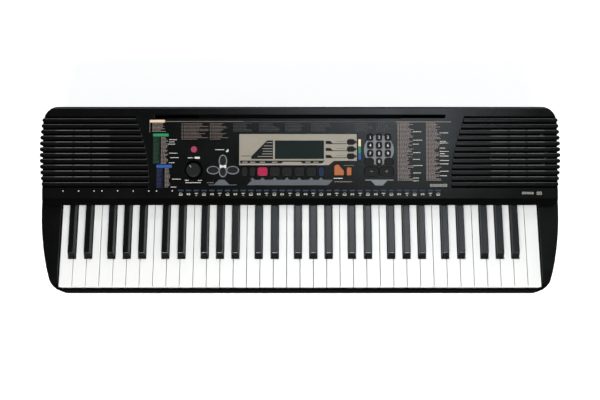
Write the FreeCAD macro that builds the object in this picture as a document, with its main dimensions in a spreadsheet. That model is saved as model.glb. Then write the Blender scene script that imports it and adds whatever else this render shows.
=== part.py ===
import FreeCAD, Part
import math
import os
import Sketcher
from types import SimpleNamespace

# Driving dimensions in millimetres and degrees, grouped by piece
SIZES = {
    # case outline and walls
    "case_width": 920, "case_depth": 324, "side_radius": 490, "corner_radius": 30, "rear_radius": 31,
    "case_wall": 3, "split_z": 45, "rail_top_z": 60, "rail_wall": 5, "rail_gap": 0.3,
    "front_lean": 8,
    # sloping control panel and its front lip
    "deck_tilt": 9.5, "deck_front_z": 98, "deck_wall": 3, "lip_reach": 10.6, "lip_drop": 6,
    "lip_wall": 2.4, "deck_edge": 5, "panel_corner": 8, "panel_inset": 5,
    # cheeks beside the keys
    "cheek_top_z": 80, "cheek_front_z": 62, "cheek_nose": 40, "cheek_gap": 1.5, "cheek_least": 32,
    # raised ribs and speaker slots
    "rib_first": 25.2, "rib_pitch": 10.3, "rib_width": 7.6, "rib_height": 0.5, "rib_skirt": 16,
    "rib_sink": 1.5, "rib_overhang": 5, "rib_length": 194, "rib_sweep": 23, "rib_rear": 22,
    "speaker_inset": 74, "speaker_shift": 2.65, "grille_radius": 52, "grille_slot": 1.8,
    "bridge_offset": 17, "bridge_width": 3.4,
    # music-rest pockets
    "rest_inset": 19, "rest_width": 6, "rest_depth": 14, "rest_margin": 32, "rest_length": 77,
    "rest_groove": 1.6, "rest_wall": 2.5,
    # display
    "window_lead": 5, "window_width": 207.8, "window_lift": 4, "window_height": 55,
    "window_step": 49.4, "window_step_height": 7.4, "window_slant": 9, "window_thick": 2.5,
    "window_proud": 0.5, "window_gap": 0.3, "screen_shift": 2.5, "screen_lift": 27, "screen_width": 87,
    "screen_height": 33, "screen_border": 2, "module_border": 8, "module_thick": 8,
    # keys
    "key_pitch": 23.5, "key_gap": 1, "white_top_z": 76, "white_height": 20, "key_setback": 8.8,
    "key_wall": 2.2, "key_dip": 3, "black_slot": 14.5, "black_gap": 0.75, "black_draft": 1.25,
    "black_height": 12, "white_head": 50.2, "black_slope": 8, "black_notch": 1.2, "black_cap_rear": 4,
    "pivot_inset": 120, "pivot_z": 62, "rod_radius": 2.5, "pivot_gap": 0.3, "key_tail": 8,
    "plunger_inset": 50, "plunger_width": 5, "plunger_length": 6, "plunger_drop": 3.7,
    # key chassis, felts and contacts
    "chassis_z": 20, "chassis_wall": 3, "chassis_margin": 2, "chassis_rear": 16, "chassis_front": 3.2,
    "leg_width": 14, "guide_width": 4, "guide_length": 6, "guide_rise": 4, "bracket_gap": 1.8625,
    "felt_width": 10, "felt_thick": 4, "stop_gap": 0.4, "felt_white_inset": 19.2, "felt_black_inset": 13,
    "contact_board_z": 38, "contact_board_margin": 10, "board_thick": 1.6, "dome_radius": 4,
    "dome_strip": 20, "dome_base": 2, "dome_height": 6,
    # buttons in general
    "button_gap": 0.4, "button_rise": 2, "button_travel": 1.2, "flange_width": 1.2, "flange_thick": 1.2,
    "flange_gap": 0.3, "stem_width": 4, "stem_depth": 11, "panel_board_depth": 17, "switch_width": 6,
    "board_left": 24.5, "board_right": 13.3, "board_front": 17.5, "board_rear": 10.1,
    "panel_post_radius": 3.5,
    # function row, select buttons, keypad, cursor cross
    "row_d": 47.5, "row_lead": 7.9, "row_gap": 4.2, "row_narrow": 9.6, "row_wide": 17.4,
    "row_height": 15, "select_inset": 10.4, "select_lift": 28, "select_pitch": 12.6, "select_width": 13.8,
    "select_height": 8.6, "pad_gap": 23.9, "pad_lift": 3.9, "pad_pitch_x": 15.6, "pad_pitch_d": 14.3,
    "digit_width": 10.2, "digit_height": 11, "oval_offset": 17.2, "oval_width": 15.6,
    "oval_height": 11.6, "wide_offset": 13.3, "wide_width": 23.6, "wide_height": 15.2, "wide_d": 47.7,
    "cross_gap": 9.4, "cross_d": 49.8, "cross_arm": 17.2, "cross_up": 16.5, "cross_down": 2.8,
    "petal_length": 17, "petal_width": 8.8, "petal_tall": 13.6, "petal_slim": 9.2,
    # separate buttons and knob
    "grand_gap": 17.8, "grand_shift": 2.9, "grand_width": 16.8, "grand_height": 18.6,
    "beat_gap": 5.2, "beat_shift": 0.2, "beat_width": 8, "beat_height": 13.8,
    "power_shift": 0.5, "power_d": 86.7, "power_radius": 5.4, "power_recess": 9.8, "power_travel": 2.5,
    "recess_depth": 1.2, "knob_x": -187.5, "knob_d": 49.8, "knob_radius": 12.3, "knob_height": 10,
    "knob_recess": 16.4, "knob_gap": 0.6, "knob_stem_radius": 3, "pot_width": 14, "pot_height": 7,
    "pot_bush_radius": 5, "pot_bush_length": 5,
    # speakers
    "speaker_radius": 56, "speaker_hole": 49, "flange_ring": 3, "basket_depth": 29, "magnet_radius": 27,
    "magnet_depth": 16, "basket_wall": 2.5, "cone_gap": 1.2, "cone_wall": 1.2,
    # rear sockets and main board
    "socket_base_z": 20, "socket_height": 18, "socket_depth": 24, "socket_gap": 0.3, "jack_width": 14,
    "jack_radius": 3.25, "jack_depth": 16, "din_width": 18, "din_radius": 6.7, "din_depth": 7,
    "inlet_width": 12, "inlet_radius": 2.9, "inlet_depth": 10, "socket_first": 172, "socket_space": 14,
    "main_board_left": 146, "main_board_inset": 50, "main_board_depth": 80, "board_post_radius": 4,
    # battery bay
    "bay_width": 198, "bay_length": 78, "bay_height": 39, "bay_inset": 57, "bay_wall": 3, "bay_ledge": 4,
    "cover_gap": 0.3, "contact_plate": 0.6, "contact_size": 14, "contact_bump": 3,
    # feet and screws
    "foot_height": 5, "foot_radius": 11, "foot_inset_x": 60, "foot_inset_y": 34,
    "tube_radius": 6.5, "head_radius": 3.5, "head_height": 2.4, "head_gap": 0.7, "shank_radius": 1.5,
    "shank_gap": 0.2, "seat_below_split": 10, "screw_bite": 12, "upper_post_radius": 5,
    "post_side": 12, "post_rear": 22, "post_middle": 20, "post_front": 62, "post_cheek": 11.5, "post_bay": 14,
    "post_back": 12,
}

doc = FreeCAD.newDocument("arranger_keyboard")
sheet = doc.addObject("Spreadsheet::Sheet", "Sizes")
for row, (word, amount) in enumerate(SIZES.items(), start=1):
    sheet.set(f"A{row}", word)
    sheet.set(f"B{row}", str(amount))
    sheet.setAlias(f"B{row}", word)
doc.recompute()


# A dimension keeps its present value and the expression that ties it to the sheet
class Size:
    def __init__(self, value, text):
        self.value = value
        self.text = text

    def __add__(self, other):
        other = as_size(other)
        return Size(self.value + other.value, f"({self.text} + {other.text})")

    def __sub__(self, other):
        other = as_size(other)
        return Size(self.value - other.value, f"({self.text} - {other.text})")

    def __mul__(self, other):
        other = as_size(other)
        return Size(self.value * other.value, f"({self.text} * {other.text})")

    def __truediv__(self, other):
        other = as_size(other)
        return Size(self.value / other.value, f"({self.text} / {other.text})")

    def __radd__(self, other):
        return as_size(other) + self

    def __rsub__(self, other):
        return as_size(other) - self

    def __rmul__(self, other):
        return as_size(other) * self

    def __neg__(self):
        return as_size(0) - self


def as_size(amount):
    return amount if isinstance(amount, Size) else Size(float(amount), f"({float(amount):.6f})")


def sine(angle):
    return Size(math.sin(math.radians(angle.value)), f"sin({angle.text})")


def cosine(angle):
    return Size(math.cos(math.radians(angle.value)), f"cos({angle.text})")


def tangent(angle):
    return Size(math.tan(math.radians(angle.value)), f"tan({angle.text})")


def root(amount):
    return Size(math.sqrt(amount.value), f"sqrt({amount.text})")


s = SimpleNamespace(**{word: Size(float(amount), f"Sizes.{word}") for word, amount in SIZES.items()})
X_AXIS = FreeCAD.Vector(1, 0, 0)
Y_AXIS = FreeCAD.Vector(0, 1, 0)
Z_AXIS = FreeCAD.Vector(0, 0, 1)


# Building blocks, each tied to the sheet
def bind(obj, path, amount):
    obj.setExpression(path, as_size(amount).text)


def move(obj, x=0, y=0, z=0):
    for axis, amount in zip("xyz", (x, y, z)):
        bind(obj, f"Placement.Base.{axis}", amount)
    return obj


def turn(obj, axis, angle):
    obj.Placement = FreeCAD.Placement(FreeCAD.Vector(), FreeCAD.Rotation(axis, angle))
    return obj


def on_deck(obj, x=0, d=0):
    turn(obj, X_AXIS, s.deck_tilt.value)
    bind(obj, "Placement.Rotation.Angle", s.deck_tilt)
    return move(obj, x, d * cosine(s.deck_tilt), s.deck_front_z + d * sine(s.deck_tilt))


def box(name, x, y, z):
    obj = doc.addObject("Part::Box", name)
    for side, (low, high) in zip(("Length", "Width", "Height"), (x, y, z)):
        bind(obj, side, as_size(high) - low)
    return move(obj, x[0], y[0], z[0])


def cylinder(name, x, y, z, radius, axis="z"):
    obj = doc.addObject("Part::Cylinder", name)
    spans = {"x": x, "y": y, "z": z}
    low, high = spans[axis]
    if axis == "x":
        turn(obj, Y_AXIS, 90)
    if axis == "y":
        turn(obj, X_AXIS, -90)
    bind(obj, "Radius", radius)
    bind(obj, "Height", as_size(high) - low)
    spans[axis] = low
    return move(obj, spans["x"], spans["y"], spans["z"])


def group(kind, name, pieces):
    obj = doc.addObject(f"Part::{kind}", name)
    if kind == "Compound":
        obj.Links = pieces
    else:
        obj.Shapes = pieces
    return obj


def fuse(name, pieces):
    return group("MultiFuse", name, pieces)


def common(name, pieces):
    return group("MultiCommon", name, pieces)


def compound(name, pieces):
    return group("Compound", name, pieces)


def cut(name, base, tool):
    obj = doc.addObject("Part::Cut", name)
    obj.Base = base
    obj.Tool = tool
    return obj


# Sketch outlines
def pin_point(sketch, geo, end, x, y):
    for kind, axis, amount in (("DistanceX", -2, as_size(x)), ("DistanceY", -1, as_size(y))):
        if abs(amount.value) < 1e-9:
            sketch.addConstraint(Sketcher.Constraint("PointOnObject", geo, end, axis))
            continue
        ends = (-1, 1, geo, end) if amount.value > 0 else (geo, end, -1, 1)
        index = sketch.addConstraint(Sketcher.Constraint(kind, *ends, abs(amount.value)))
        bind(sketch, f"Constraints[{index}]", amount if amount.value > 0 else -amount)


def set_radius(sketch, geo, amount):
    index = sketch.addConstraint(Sketcher.Constraint("Radius", geo, amount.value))
    bind(sketch, f"Constraints[{index}]", amount)


def draw_polygon(sketch, points):
    spots = [FreeCAD.Vector(as_size(x).value, as_size(y).value, 0) for x, y in points]
    count = len(spots)
    sketch.addGeometry([Part.LineSegment(spots[i], spots[(i + 1) % count]) for i in range(count)], False)
    for i, (x, y) in enumerate(points):
        sketch.addConstraint(Sketcher.Constraint("Coincident", i, 2, (i + 1) % count, 1))
        pin_point(sketch, i, 1, x, y)


def arc(x, y, radius, start, end):
    return Part.ArcOfCircle(Part.Circle(FreeCAD.Vector(x, y, 0), Z_AXIS, radius), start, end)


def line(x0, y0, x1, y1):
    return Part.LineSegment(FreeCAD.Vector(x0, y0, 0), FreeCAD.Vector(x1, y1, 0))


def join_tangent(sketch, joins):
    sketch.addConstraint([Sketcher.Constraint("Tangent", *join) for join in joins])


def draw_round_box(sketch, left, right, low, high, front_radius, rear_radius):
    x0, x1, y0, y1 = (as_size(amount).value for amount in (left, right, low, high))
    f, r = front_radius.value, rear_radius.value
    quarter = math.pi / 2
    sketch.addGeometry([
        line(x0 + f, y0, x1 - f, y0), arc(x1 - f, y0 + f, f, -quarter, 0),
        line(x1, y0 + f, x1, y1 - r), arc(x1 - r, y1 - r, r, 0, quarter),
        line(x1 - r, y1, x0 + r, y1), arc(x0 + r, y1 - r, r, quarter, 2 * quarter),
        line(x0, y1 - r, x0, y0 + f), arc(x0 + f, y0 + f, f, 2 * quarter, 3 * quarter)], False)
    join_tangent(sketch, [(0, 2, 1, 1), (1, 2, 2, 1), (2, 2, 3, 1), (3, 2, 4, 1),
                          (4, 2, 5, 1), (5, 2, 6, 1), (6, 2, 7, 1), (7, 2, 0, 1)])
    for geo, kind in ((0, "Horizontal"), (2, "Vertical"), (4, "Horizontal"), (6, "Vertical")):
        sketch.addConstraint(Sketcher.Constraint(kind, geo))
    for geo, radius in ((1, front_radius), (3, rear_radius), (5, rear_radius), (7, front_radius)):
        set_radius(sketch, geo, radius)
    for geo, kind, amount in ((0, "DistanceY", as_size(low)), (2, "DistanceX", as_size(right)),
                              (4, "DistanceY", as_size(high)), (6, "DistanceX", as_size(left))):
        ends = (-1, 1, geo, 1) if amount.value > 0 else (geo, 1, -1, 1)
        index = sketch.addConstraint(Sketcher.Constraint(kind, *ends, abs(amount.value)))
        bind(sketch, f"Constraints[{index}]", amount if amount.value > 0 else -amount)


def draw_case_outline(sketch, inset):
    half, depth = (s.case_width / 2 - inset), (s.case_depth / 2 - inset)
    side, corner, rear = s.side_radius - inset, s.corner_radius - inset, s.rear_radius - inset
    h, d, big, small, r = (amount.value for amount in (half, depth, side, corner, rear))
    sweep = math.asin((d - small) / (big - small))
    cx, cy = h - big + (big - small) * math.cos(sweep), -(big - small) * math.sin(sweep)
    pi = math.pi
    sketch.addGeometry([
        line(r - h, d, h - r, d), arc(h - r, d - r, r, 0, pi / 2), line(h, d - r, h, 0),
        arc(h - big, 0, big, -sweep, 0), arc(cx, cy, small, -pi / 2, -sweep), line(cx, -d, -cx, -d),
        arc(-cx, cy, small, pi + sweep, 1.5 * pi), arc(big - h, 0, big, pi, pi + sweep),
        line(-h, 0, -h, d - r), arc(r - h, d - r, r, pi / 2, pi)], False)
    join_tangent(sketch, [(0, 2, 1, 2), (1, 1, 2, 1), (2, 2, 3, 2), (3, 1, 4, 2), (4, 1, 5, 1),
                          (5, 2, 6, 2), (6, 1, 7, 2), (7, 1, 8, 1), (8, 2, 9, 2), (9, 1, 0, 1)])
    for geo, kind in ((0, "Horizontal"), (5, "Horizontal"), (2, "Vertical"), (8, "Vertical")):
        sketch.addConstraint(Sketcher.Constraint(kind, geo))
    for geo, radius in ((1, rear), (9, rear), (3, side), (7, side), (4, corner), (6, corner)):
        set_radius(sketch, geo, radius)
    for kind, ends, amount in (("DistanceY", (-1, 1, 0, 1), depth), ("DistanceY", (5, 1, -1, 1), depth),
                               ("DistanceX", (-1, 1, 2, 1), half), ("DistanceX", (8, 1, -1, 1), half)):
        index = sketch.addConstraint(Sketcher.Constraint(kind, *ends, amount.value))
        bind(sketch, f"Constraints[{index}]", amount)
    sketch.addConstraint(Sketcher.Constraint("PointOnObject", 2, 2, -1))
    sketch.addConstraint(Sketcher.Constraint("PointOnObject", 8, 1, -1))


# Solids from sketches: an upright prism, and a bar drawn in the side view
def prism(name, draw, low, high):
    sketch = doc.addObject("Sketcher::SketchObject", f"{name}_sketch")
    draw(sketch)
    obj = doc.addObject("Part::Extrusion", name)
    obj.Base = sketch
    obj.DirMode = "Normal"
    obj.Solid = True
    bind(obj, "LengthFwd", as_size(high) - low)
    return move(obj, z=low)


def side_bar(name, points, width):
    sketch = doc.addObject("Sketcher::SketchObject", f"{name}_sketch")
    draw_polygon(sketch, points)
    turn(sketch, FreeCAD.Vector(1, 1, 1), 120)
    obj = doc.addObject("Part::Extrusion", name)
    obj.Base = sketch
    obj.DirMode = "Normal"
    obj.Solid = True
    obj.Symmetric = True
    bind(obj, "LengthFwd", width)
    return obj


# Design bodies: layers padded one on another, and turned pieces
def attach(body, sketch, plane):
    sketch.AttachmentSupport = [(body.Origin.OriginFeatures[plane], "")]
    sketch.MapMode = "FlatFace"


def padded(name, layers):
    body = doc.addObject("PartDesign::Body", name)
    for number, (draw, low, high) in enumerate(layers, start=1):
        sketch = body.newObject("Sketcher::SketchObject", f"{name}_sketch_{number}")
        attach(body, sketch, 3)
        draw(sketch)
        bind(sketch, "AttachmentOffset.Base.z", low)
        pad = body.newObject("PartDesign::Pad", f"{name}_pad_{number}")
        pad.Profile = sketch
        bind(pad, "Length", as_size(high) - low)
    return body


def turned(name, points):
    body = doc.addObject("PartDesign::Body", name)
    sketch = body.newObject("Sketcher::SketchObject", f"{name}_sketch")
    attach(body, sketch, 4)
    draw_polygon(sketch, points)
    spin = body.newObject("PartDesign::Revolution", f"{name}_spin")
    spin.Profile = sketch
    spin.ReferenceAxis = (sketch, ["V_Axis"])
    spin.Angle = 360
    return body


def copy_at(name, piece, x=0, y=0, z=0):
    return move(compound(name, [piece]), x, y, z)


# Places that several pieces share
half_width = s.case_width / 2
panel_half = half_width - s.panel_inset
half_depth = s.case_depth / 2
floor_z = s.foot_height + s.case_wall
cheek_room = s.case_width - 2 * (s.cheek_least + s.cheek_gap)
OCTAVES = int((cheek_room - s.key_pitch).value // (7 * s.key_pitch).value)
key_half = (7 * OCTAVES + 1) / 2 * s.key_pitch
well_half = key_half + s.cheek_gap
white_front = half_depth - s.key_setback
black_front = white_front - s.white_head
felt_white_front = white_front - s.felt_white_inset
felt_black_front = black_front - s.felt_black_inset
plunger_y = felt_black_front - s.plunger_inset
pivot_y = half_depth - s.pivot_inset
black_width = s.black_slot - 2 * s.black_gap
black_top_width = black_width - 2 * s.black_draft
bay_middle = half_depth - s.bay_inset
rest_y = half_depth - s.rest_inset
deck_length = half_depth / cosine(s.deck_tilt)
speaker_x = half_width - s.speaker_inset
deck_drop = s.deck_wall / cosine(s.deck_tilt)
lip_under_z = s.deck_front_z - s.lip_drop - s.lip_wall
above = s.deck_front_z + half_depth


def deck_z(y):
    return s.deck_front_z + y * tangent(s.deck_tilt)


# Panel layout: from the knob on the left, each group stands off the one before it
ROW_KINDS = ("narrow", "narrow", "wide", "wide", "wide", "wide", "wide", "narrow")
row_widths = [s.row_narrow if kind == "narrow" else s.row_wide for kind in ROW_KINDS]
cross_x = s.knob_x + s.knob_recess + s.cross_gap + s.petal_length / 2 + s.cross_arm
row_left = cross_x + s.cross_arm + s.petal_length / 2 + s.row_lead
row_right = row_left + sum(row_widths) + (len(ROW_KINDS) - 1) * s.row_gap
grand_x = row_right + s.grand_gap + s.grand_width / 2
beat_x = grand_x + s.grand_width / 2 + s.beat_gap + s.beat_width / 2
pad_right = beat_x + s.beat_width / 2 + s.pad_gap + 2 * s.wide_offset + s.wide_width
pad_x = pad_right - s.wide_offset - s.wide_width / 2
pad_d = s.wide_d + (s.wide_height + s.oval_height) / 2 + s.pad_lift + 2 * s.pad_pitch_d
window_left = row_left - s.window_lead
window_right = window_left + s.window_width
window_front = s.row_d + s.row_height / 2 + s.window_lift
window_rear = window_front + s.window_height
select_x, select_d = window_right - s.select_inset, window_front + s.select_lift
board_x = (s.knob_x - s.board_left, pad_right + s.board_right)
board_d = (s.row_d - s.board_front, pad_d + s.pad_pitch_d + s.board_rear)


# Buttons: cap, retaining flange and stem of each kind, with the hole that takes the cap
def round_rect(width, height, corner, grow=0):
    def draw(sketch):
        across, along = width / 2 + grow, height / 2 + grow
        radius = corner + grow
        draw_round_box(sketch, -across, across, -along, along, radius, radius)
    return draw


GRAND_PIANO = ((-0.5, -0.5), (0.5, -0.5), (0.5, -0.13), (0.45, -0.02), (0.33, 0.08), (0.2, 0.2), (0.1, 0.33),
               (0.02, 0.43), (-0.1, 0.49), (-0.25, 0.5), (-0.38, 0.45), (-0.46, 0.36), (-0.5, 0.24))


def grand_shape(width, height, grow=0):
    def draw(sketch):
        across, along = width + 2 * as_size(grow), height + 2 * as_size(grow)
        draw_polygon(sketch, [(u * across, v * along) for u, v in GRAND_PIANO])
    return draw


flange_top = -(s.deck_wall + s.flange_gap)
flange_low = flange_top - s.flange_thick
hole_low = -2 * s.deck_wall
hole_high = 3 * s.button_rise


def button_kind(name, shape, width, height, corner=None, rise=None):
    extra = () if corner is None else (corner,)
    rim = s.flange_width
    stem = round_rect(s.stem_width, s.stem_width, s.stem_width / 8)
    body = padded(f"{name}_button", [(shape(width, height, *extra, rim), flange_low, flange_top),
                                     (shape(width, height, *extra), flange_top, rise or s.button_rise),
                                     (stem, -s.stem_depth, flange_low)])
    gap = s.button_gap if corner is not None else 1.5 * s.button_gap
    hole = prism(f"{name}_hole", shape(width, height, *extra, gap), hole_low, hole_high)
    return body, hole


row_corner = s.row_narrow * 0.38
KINDS = {
    "narrow": button_kind("narrow", round_rect, s.row_narrow, s.row_height, row_corner),
    "wide": button_kind("wide", round_rect, s.row_wide, s.row_height, row_corner),
    "select": button_kind("select", round_rect, s.select_width, s.select_height, s.select_height * 0.48),
    "digit": button_kind("digit", round_rect, s.digit_width, s.digit_height, s.digit_width * 0.32),
    "oval": button_kind("oval", round_rect, s.oval_width, s.oval_height, s.oval_height * 0.48),
    "bar": button_kind("bar", round_rect, s.wide_width, s.wide_height, s.wide_height * 0.3),
    "petal": button_kind("petal", round_rect, s.petal_length, s.petal_width, s.petal_width * 0.48),
    "tall": button_kind("tall", round_rect, s.petal_slim, s.petal_tall, s.petal_slim * 0.48),
    "beat": button_kind("beat", round_rect, s.beat_width, s.beat_height, s.beat_width * 0.2),
    "grand": button_kind("grand", grand_shape, s.grand_width, s.grand_height),
    "power": button_kind("power", round_rect, 2 * s.power_radius, 2 * s.power_radius,
                         0.98 * s.power_radius, s.button_rise + s.recess_depth),
}

# Each button node lists its caps as kind, place across and place up the panel
BUTTONS = {}
row_x = row_left
for number, (kind, width) in enumerate(zip(ROW_KINDS, row_widths), start=1):
    BUTTONS[f"function_button_{number}"] = [(kind, row_x + width / 2, s.row_d)]
    row_x = row_x + width + s.row_gap
for number in (1, 2, 3):
    BUTTONS[f"select_button_{number}"] = [("select", select_x, select_d + (2 - number) * s.select_pitch)]
for number in (1, 2, 3):
    d = pad_d + (2 - number) * s.pad_pitch_d
    BUTTONS[f"keypad_row_{number}"] = [("digit", pad_x + i * s.pad_pitch_x, d) for i in (-1, 0, 1)]
d = pad_d - 2 * s.pad_pitch_d
BUTTONS["keypad_row_4"] = [("oval", pad_x - s.oval_offset, d), ("digit", pad_x, d),
                           ("oval", pad_x + s.oval_offset, d)]
BUTTONS["keypad_bars"] = [("bar", pad_x + i * s.wide_offset, s.wide_d) for i in (-1, 1)]
BUTTONS["cursor_left"] = [("petal", cross_x - s.cross_arm, s.cross_d)]
BUTTONS["cursor_right"] = [("petal", cross_x + s.cross_arm, s.cross_d)]
BUTTONS["cursor_up"] = [("tall", cross_x, s.cross_d + s.cross_up)]
BUTTONS["cursor_down"] = [("tall", cross_x, s.cross_d - s.cross_down)]
BUTTONS["grand_piano_button"] = [("grand", grand_x, s.row_d + s.grand_shift)]
BUTTONS["metronome_button"] = [("beat", beat_x, s.row_d + s.beat_shift)]
power_x = s.knob_x + s.power_shift
BUTTONS["power_button"] = [("power", power_x, s.power_d)]

nodes = {}
holes = {}
switches = []
for node, caps in BUTTONS.items():
    pieces = []
    for number, (kind, x, d) in enumerate(caps, start=1):
        cap, hole = KINDS[kind]
        pieces.append(copy_at(f"{node}_cap_{number}", cap, x, d))
        holes[f"{node}_{number}"] = copy_at(f"{node}_hole_{number}", hole, x, d)
        press = s.power_travel if kind == "power" else s.button_travel
        top = -(s.stem_depth + press + s.flange_gap)
        span = s.switch_width / 2
        switches.append(box(f"{node}_switch_{number}", (x - span, x + span), (d - span, d + span),
                            (-s.panel_board_depth, top)))
    nodes[node] = on_deck(compound(node, pieces))
nodes["panel_switches"] = on_deck(compound("panel_switches", switches))

# Display window: stepped acrylic plate with holes for the select buttons
def draw_window(grow=0):
    def draw(sketch):
        grow_by = as_size(grow)
        left, right = window_left - grow_by, window_right + grow_by
        front, rear = window_front - grow_by, window_rear + grow_by
        window_step_x, step = window_right - s.window_step, window_front + s.window_step_height - grow_by
        draw_polygon(sketch, [(left, front), (window_step_x, front),
                              (window_step_x + s.window_slant, step), (right, step),
                              (right, rear), (left, rear)])
    return draw


window_low = s.window_proud - s.window_thick
window_plate = padded("window_plate", [(draw_window(), window_low, s.window_proud)])
select_holes = compound("select_holes", [holes[f"select_button_{n}_1"] for n in (1, 2, 3)])
nodes["display_window"] = on_deck(cut("display_window", window_plate, select_holes))
window_recess = prism("window_recess", draw_window(s.window_gap), window_low, hole_high)

# Display module under the panel opening
screen_x, screen_d = (window_left + window_right) / 2 + s.screen_shift, window_front + s.screen_lift
screen_left, screen_right = screen_x - s.screen_width / 2, screen_x + s.screen_width / 2
screen_low, screen_high = screen_d - s.screen_height / 2, screen_d + s.screen_height / 2
edge = s.screen_border
screen_hole = box("screen_hole", (screen_left - edge, screen_right + edge),
                  (screen_low - edge, screen_high + edge), (hole_low, hole_high))
edge = s.module_border
module_case = box("module_case", (screen_left - edge, screen_right + edge),
                  (screen_low - edge, screen_high + edge), (-s.deck_wall - s.module_thick, -s.deck_wall))
nodes["display_module"] = on_deck(compound("display_module", [module_case]))

# Panel board, with the posts of the upper case that carry it
panel_board = box("panel_board_sheet", board_x, board_d,
                  (-s.panel_board_depth - s.board_thick, -s.panel_board_depth))
nodes["panel_board"] = on_deck(compound("panel_board", [panel_board]))
post_rows = (board_d[0] + 2 * s.panel_post_radius, board_d[1] - 2 * s.panel_post_radius)
left_post = board_x[0] + 13 * s.panel_post_radius
right_post = board_x[1] - 2 * s.panel_post_radius
between_posts = (grand_x - s.grand_width, pad_x - s.wide_offset - s.wide_width)
POSTS = [(left_post, post_rows[0]), (left_post, post_rows[1]), (right_post, post_rows[1]),
         (right_post, post_rows[0]), (between_posts[0], post_rows[0]), (between_posts[1], post_rows[1])]
posts = [cylinder(f"panel_post_{n}", x, d, (-s.panel_board_depth, window_low - s.flange_gap),
                  s.panel_post_radius) for n, (x, d) in enumerate(POSTS, start=1)]

# Volume knob turns in the bush of a potentiometer that stands on the panel board
knob_low = s.knob_gap - s.recess_depth
stem_end = -s.panel_board_depth + s.pot_height / 2
knob_edge = s.knob_radius / 12
nodes["volume_knob"] = on_deck(compound("volume_knob", [turned("knob_turning", [
    (0, stem_end), (s.knob_stem_radius, stem_end), (s.knob_stem_radius, knob_low), (s.knob_radius, knob_low),
    (s.knob_radius, knob_low + knob_edge), (s.knob_radius - knob_edge / 2, s.knob_height - knob_edge),
    (s.knob_radius - 2 * knob_edge, s.knob_height), (0, s.knob_height - knob_edge / 2)])]),
    s.knob_x, s.knob_d)
pot_top = -s.panel_board_depth + s.pot_height
span = s.pot_width / 2
pot_case = box("pot_case", (-span, span), (-span, span), (-s.panel_board_depth, pot_top))
pot_bush = cylinder("pot_bush", 0, 0, (pot_top - 1, pot_top + s.pot_bush_length), s.pot_bush_radius)
pot_bore = cylinder("pot_bore", 0, 0, (stem_end - s.pivot_gap, 0), s.knob_stem_radius + s.pivot_gap)
nodes["volume_pot"] = on_deck(cut("volume_pot", fuse("pot_body", [pot_case, pot_bush]), pot_bore),
                              s.knob_x, s.knob_d)
stem_hole = cylinder("stem_hole", s.knob_x, s.knob_d, (hole_low, hole_high), s.knob_stem_radius + s.knob_gap)
knob_recess = cylinder("knob_recess", s.knob_x, s.knob_d, (-s.recess_depth, hole_high), s.knob_recess)
power_recess = cylinder("power_recess", power_x, s.power_d, (-s.recess_depth, hole_high), s.power_recess)

# Ribs that run over the panel ends and down the sides, with the speaker slots between them
RIB_COUNT = int((deck_length - s.rib_first - s.rib_rear).value // s.rib_pitch.value) + 1


# A rib is square at the panel and round at the case's side
def draw_rib(side, inner, outer, d):
    def draw(sketch):
        x0, x1, radius = side * inner.value, side * outer.value, s.rib_width.value / 2
        low, high = d.value - radius, d.value + radius
        quarter = math.pi / 2
        start = -quarter if side > 0 else quarter
        sketch.addGeometry([line(x0, low, x1, low), arc(x1, d.value, radius, start, start + 2 * quarter),
                            line(x1, high, x0, high), line(x0, high, x0, low)], False)
        first, last = (1, 2) if side > 0 else (2, 1)
        join_tangent(sketch, [(0, 2, 1, first), (1, last, 2, 1)])
        sketch.addConstraint(Sketcher.Constraint("Coincident", 2, 2, 3, 1))
        sketch.addConstraint(Sketcher.Constraint("Coincident", 3, 2, 0, 1))
        for geo, kind in ((0, "Horizontal"), (2, "Horizontal"), (3, "Vertical")):
            sketch.addConstraint(Sketcher.Constraint(kind, geo))
        pin_point(sketch, 0, 1, side * inner, d - s.rib_width / 2)
        pin_point(sketch, 1, 3, side * outer, d)
    return draw


ribs = []
slots = []
rib_middle = (RIB_COUNT - 1) / 2
rib_inner = half_width - s.rib_length
rib_ends = [rib_inner + s.rib_sweep * (i / (RIB_COUNT - 1)) ** 2 for i in range(RIB_COUNT)]
rib_places = [s.rib_first + i * s.rib_pitch for i in range(RIB_COUNT)]
speaker_d = (rib_places[0] + rib_places[-1]) / 2 + s.speaker_shift

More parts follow.
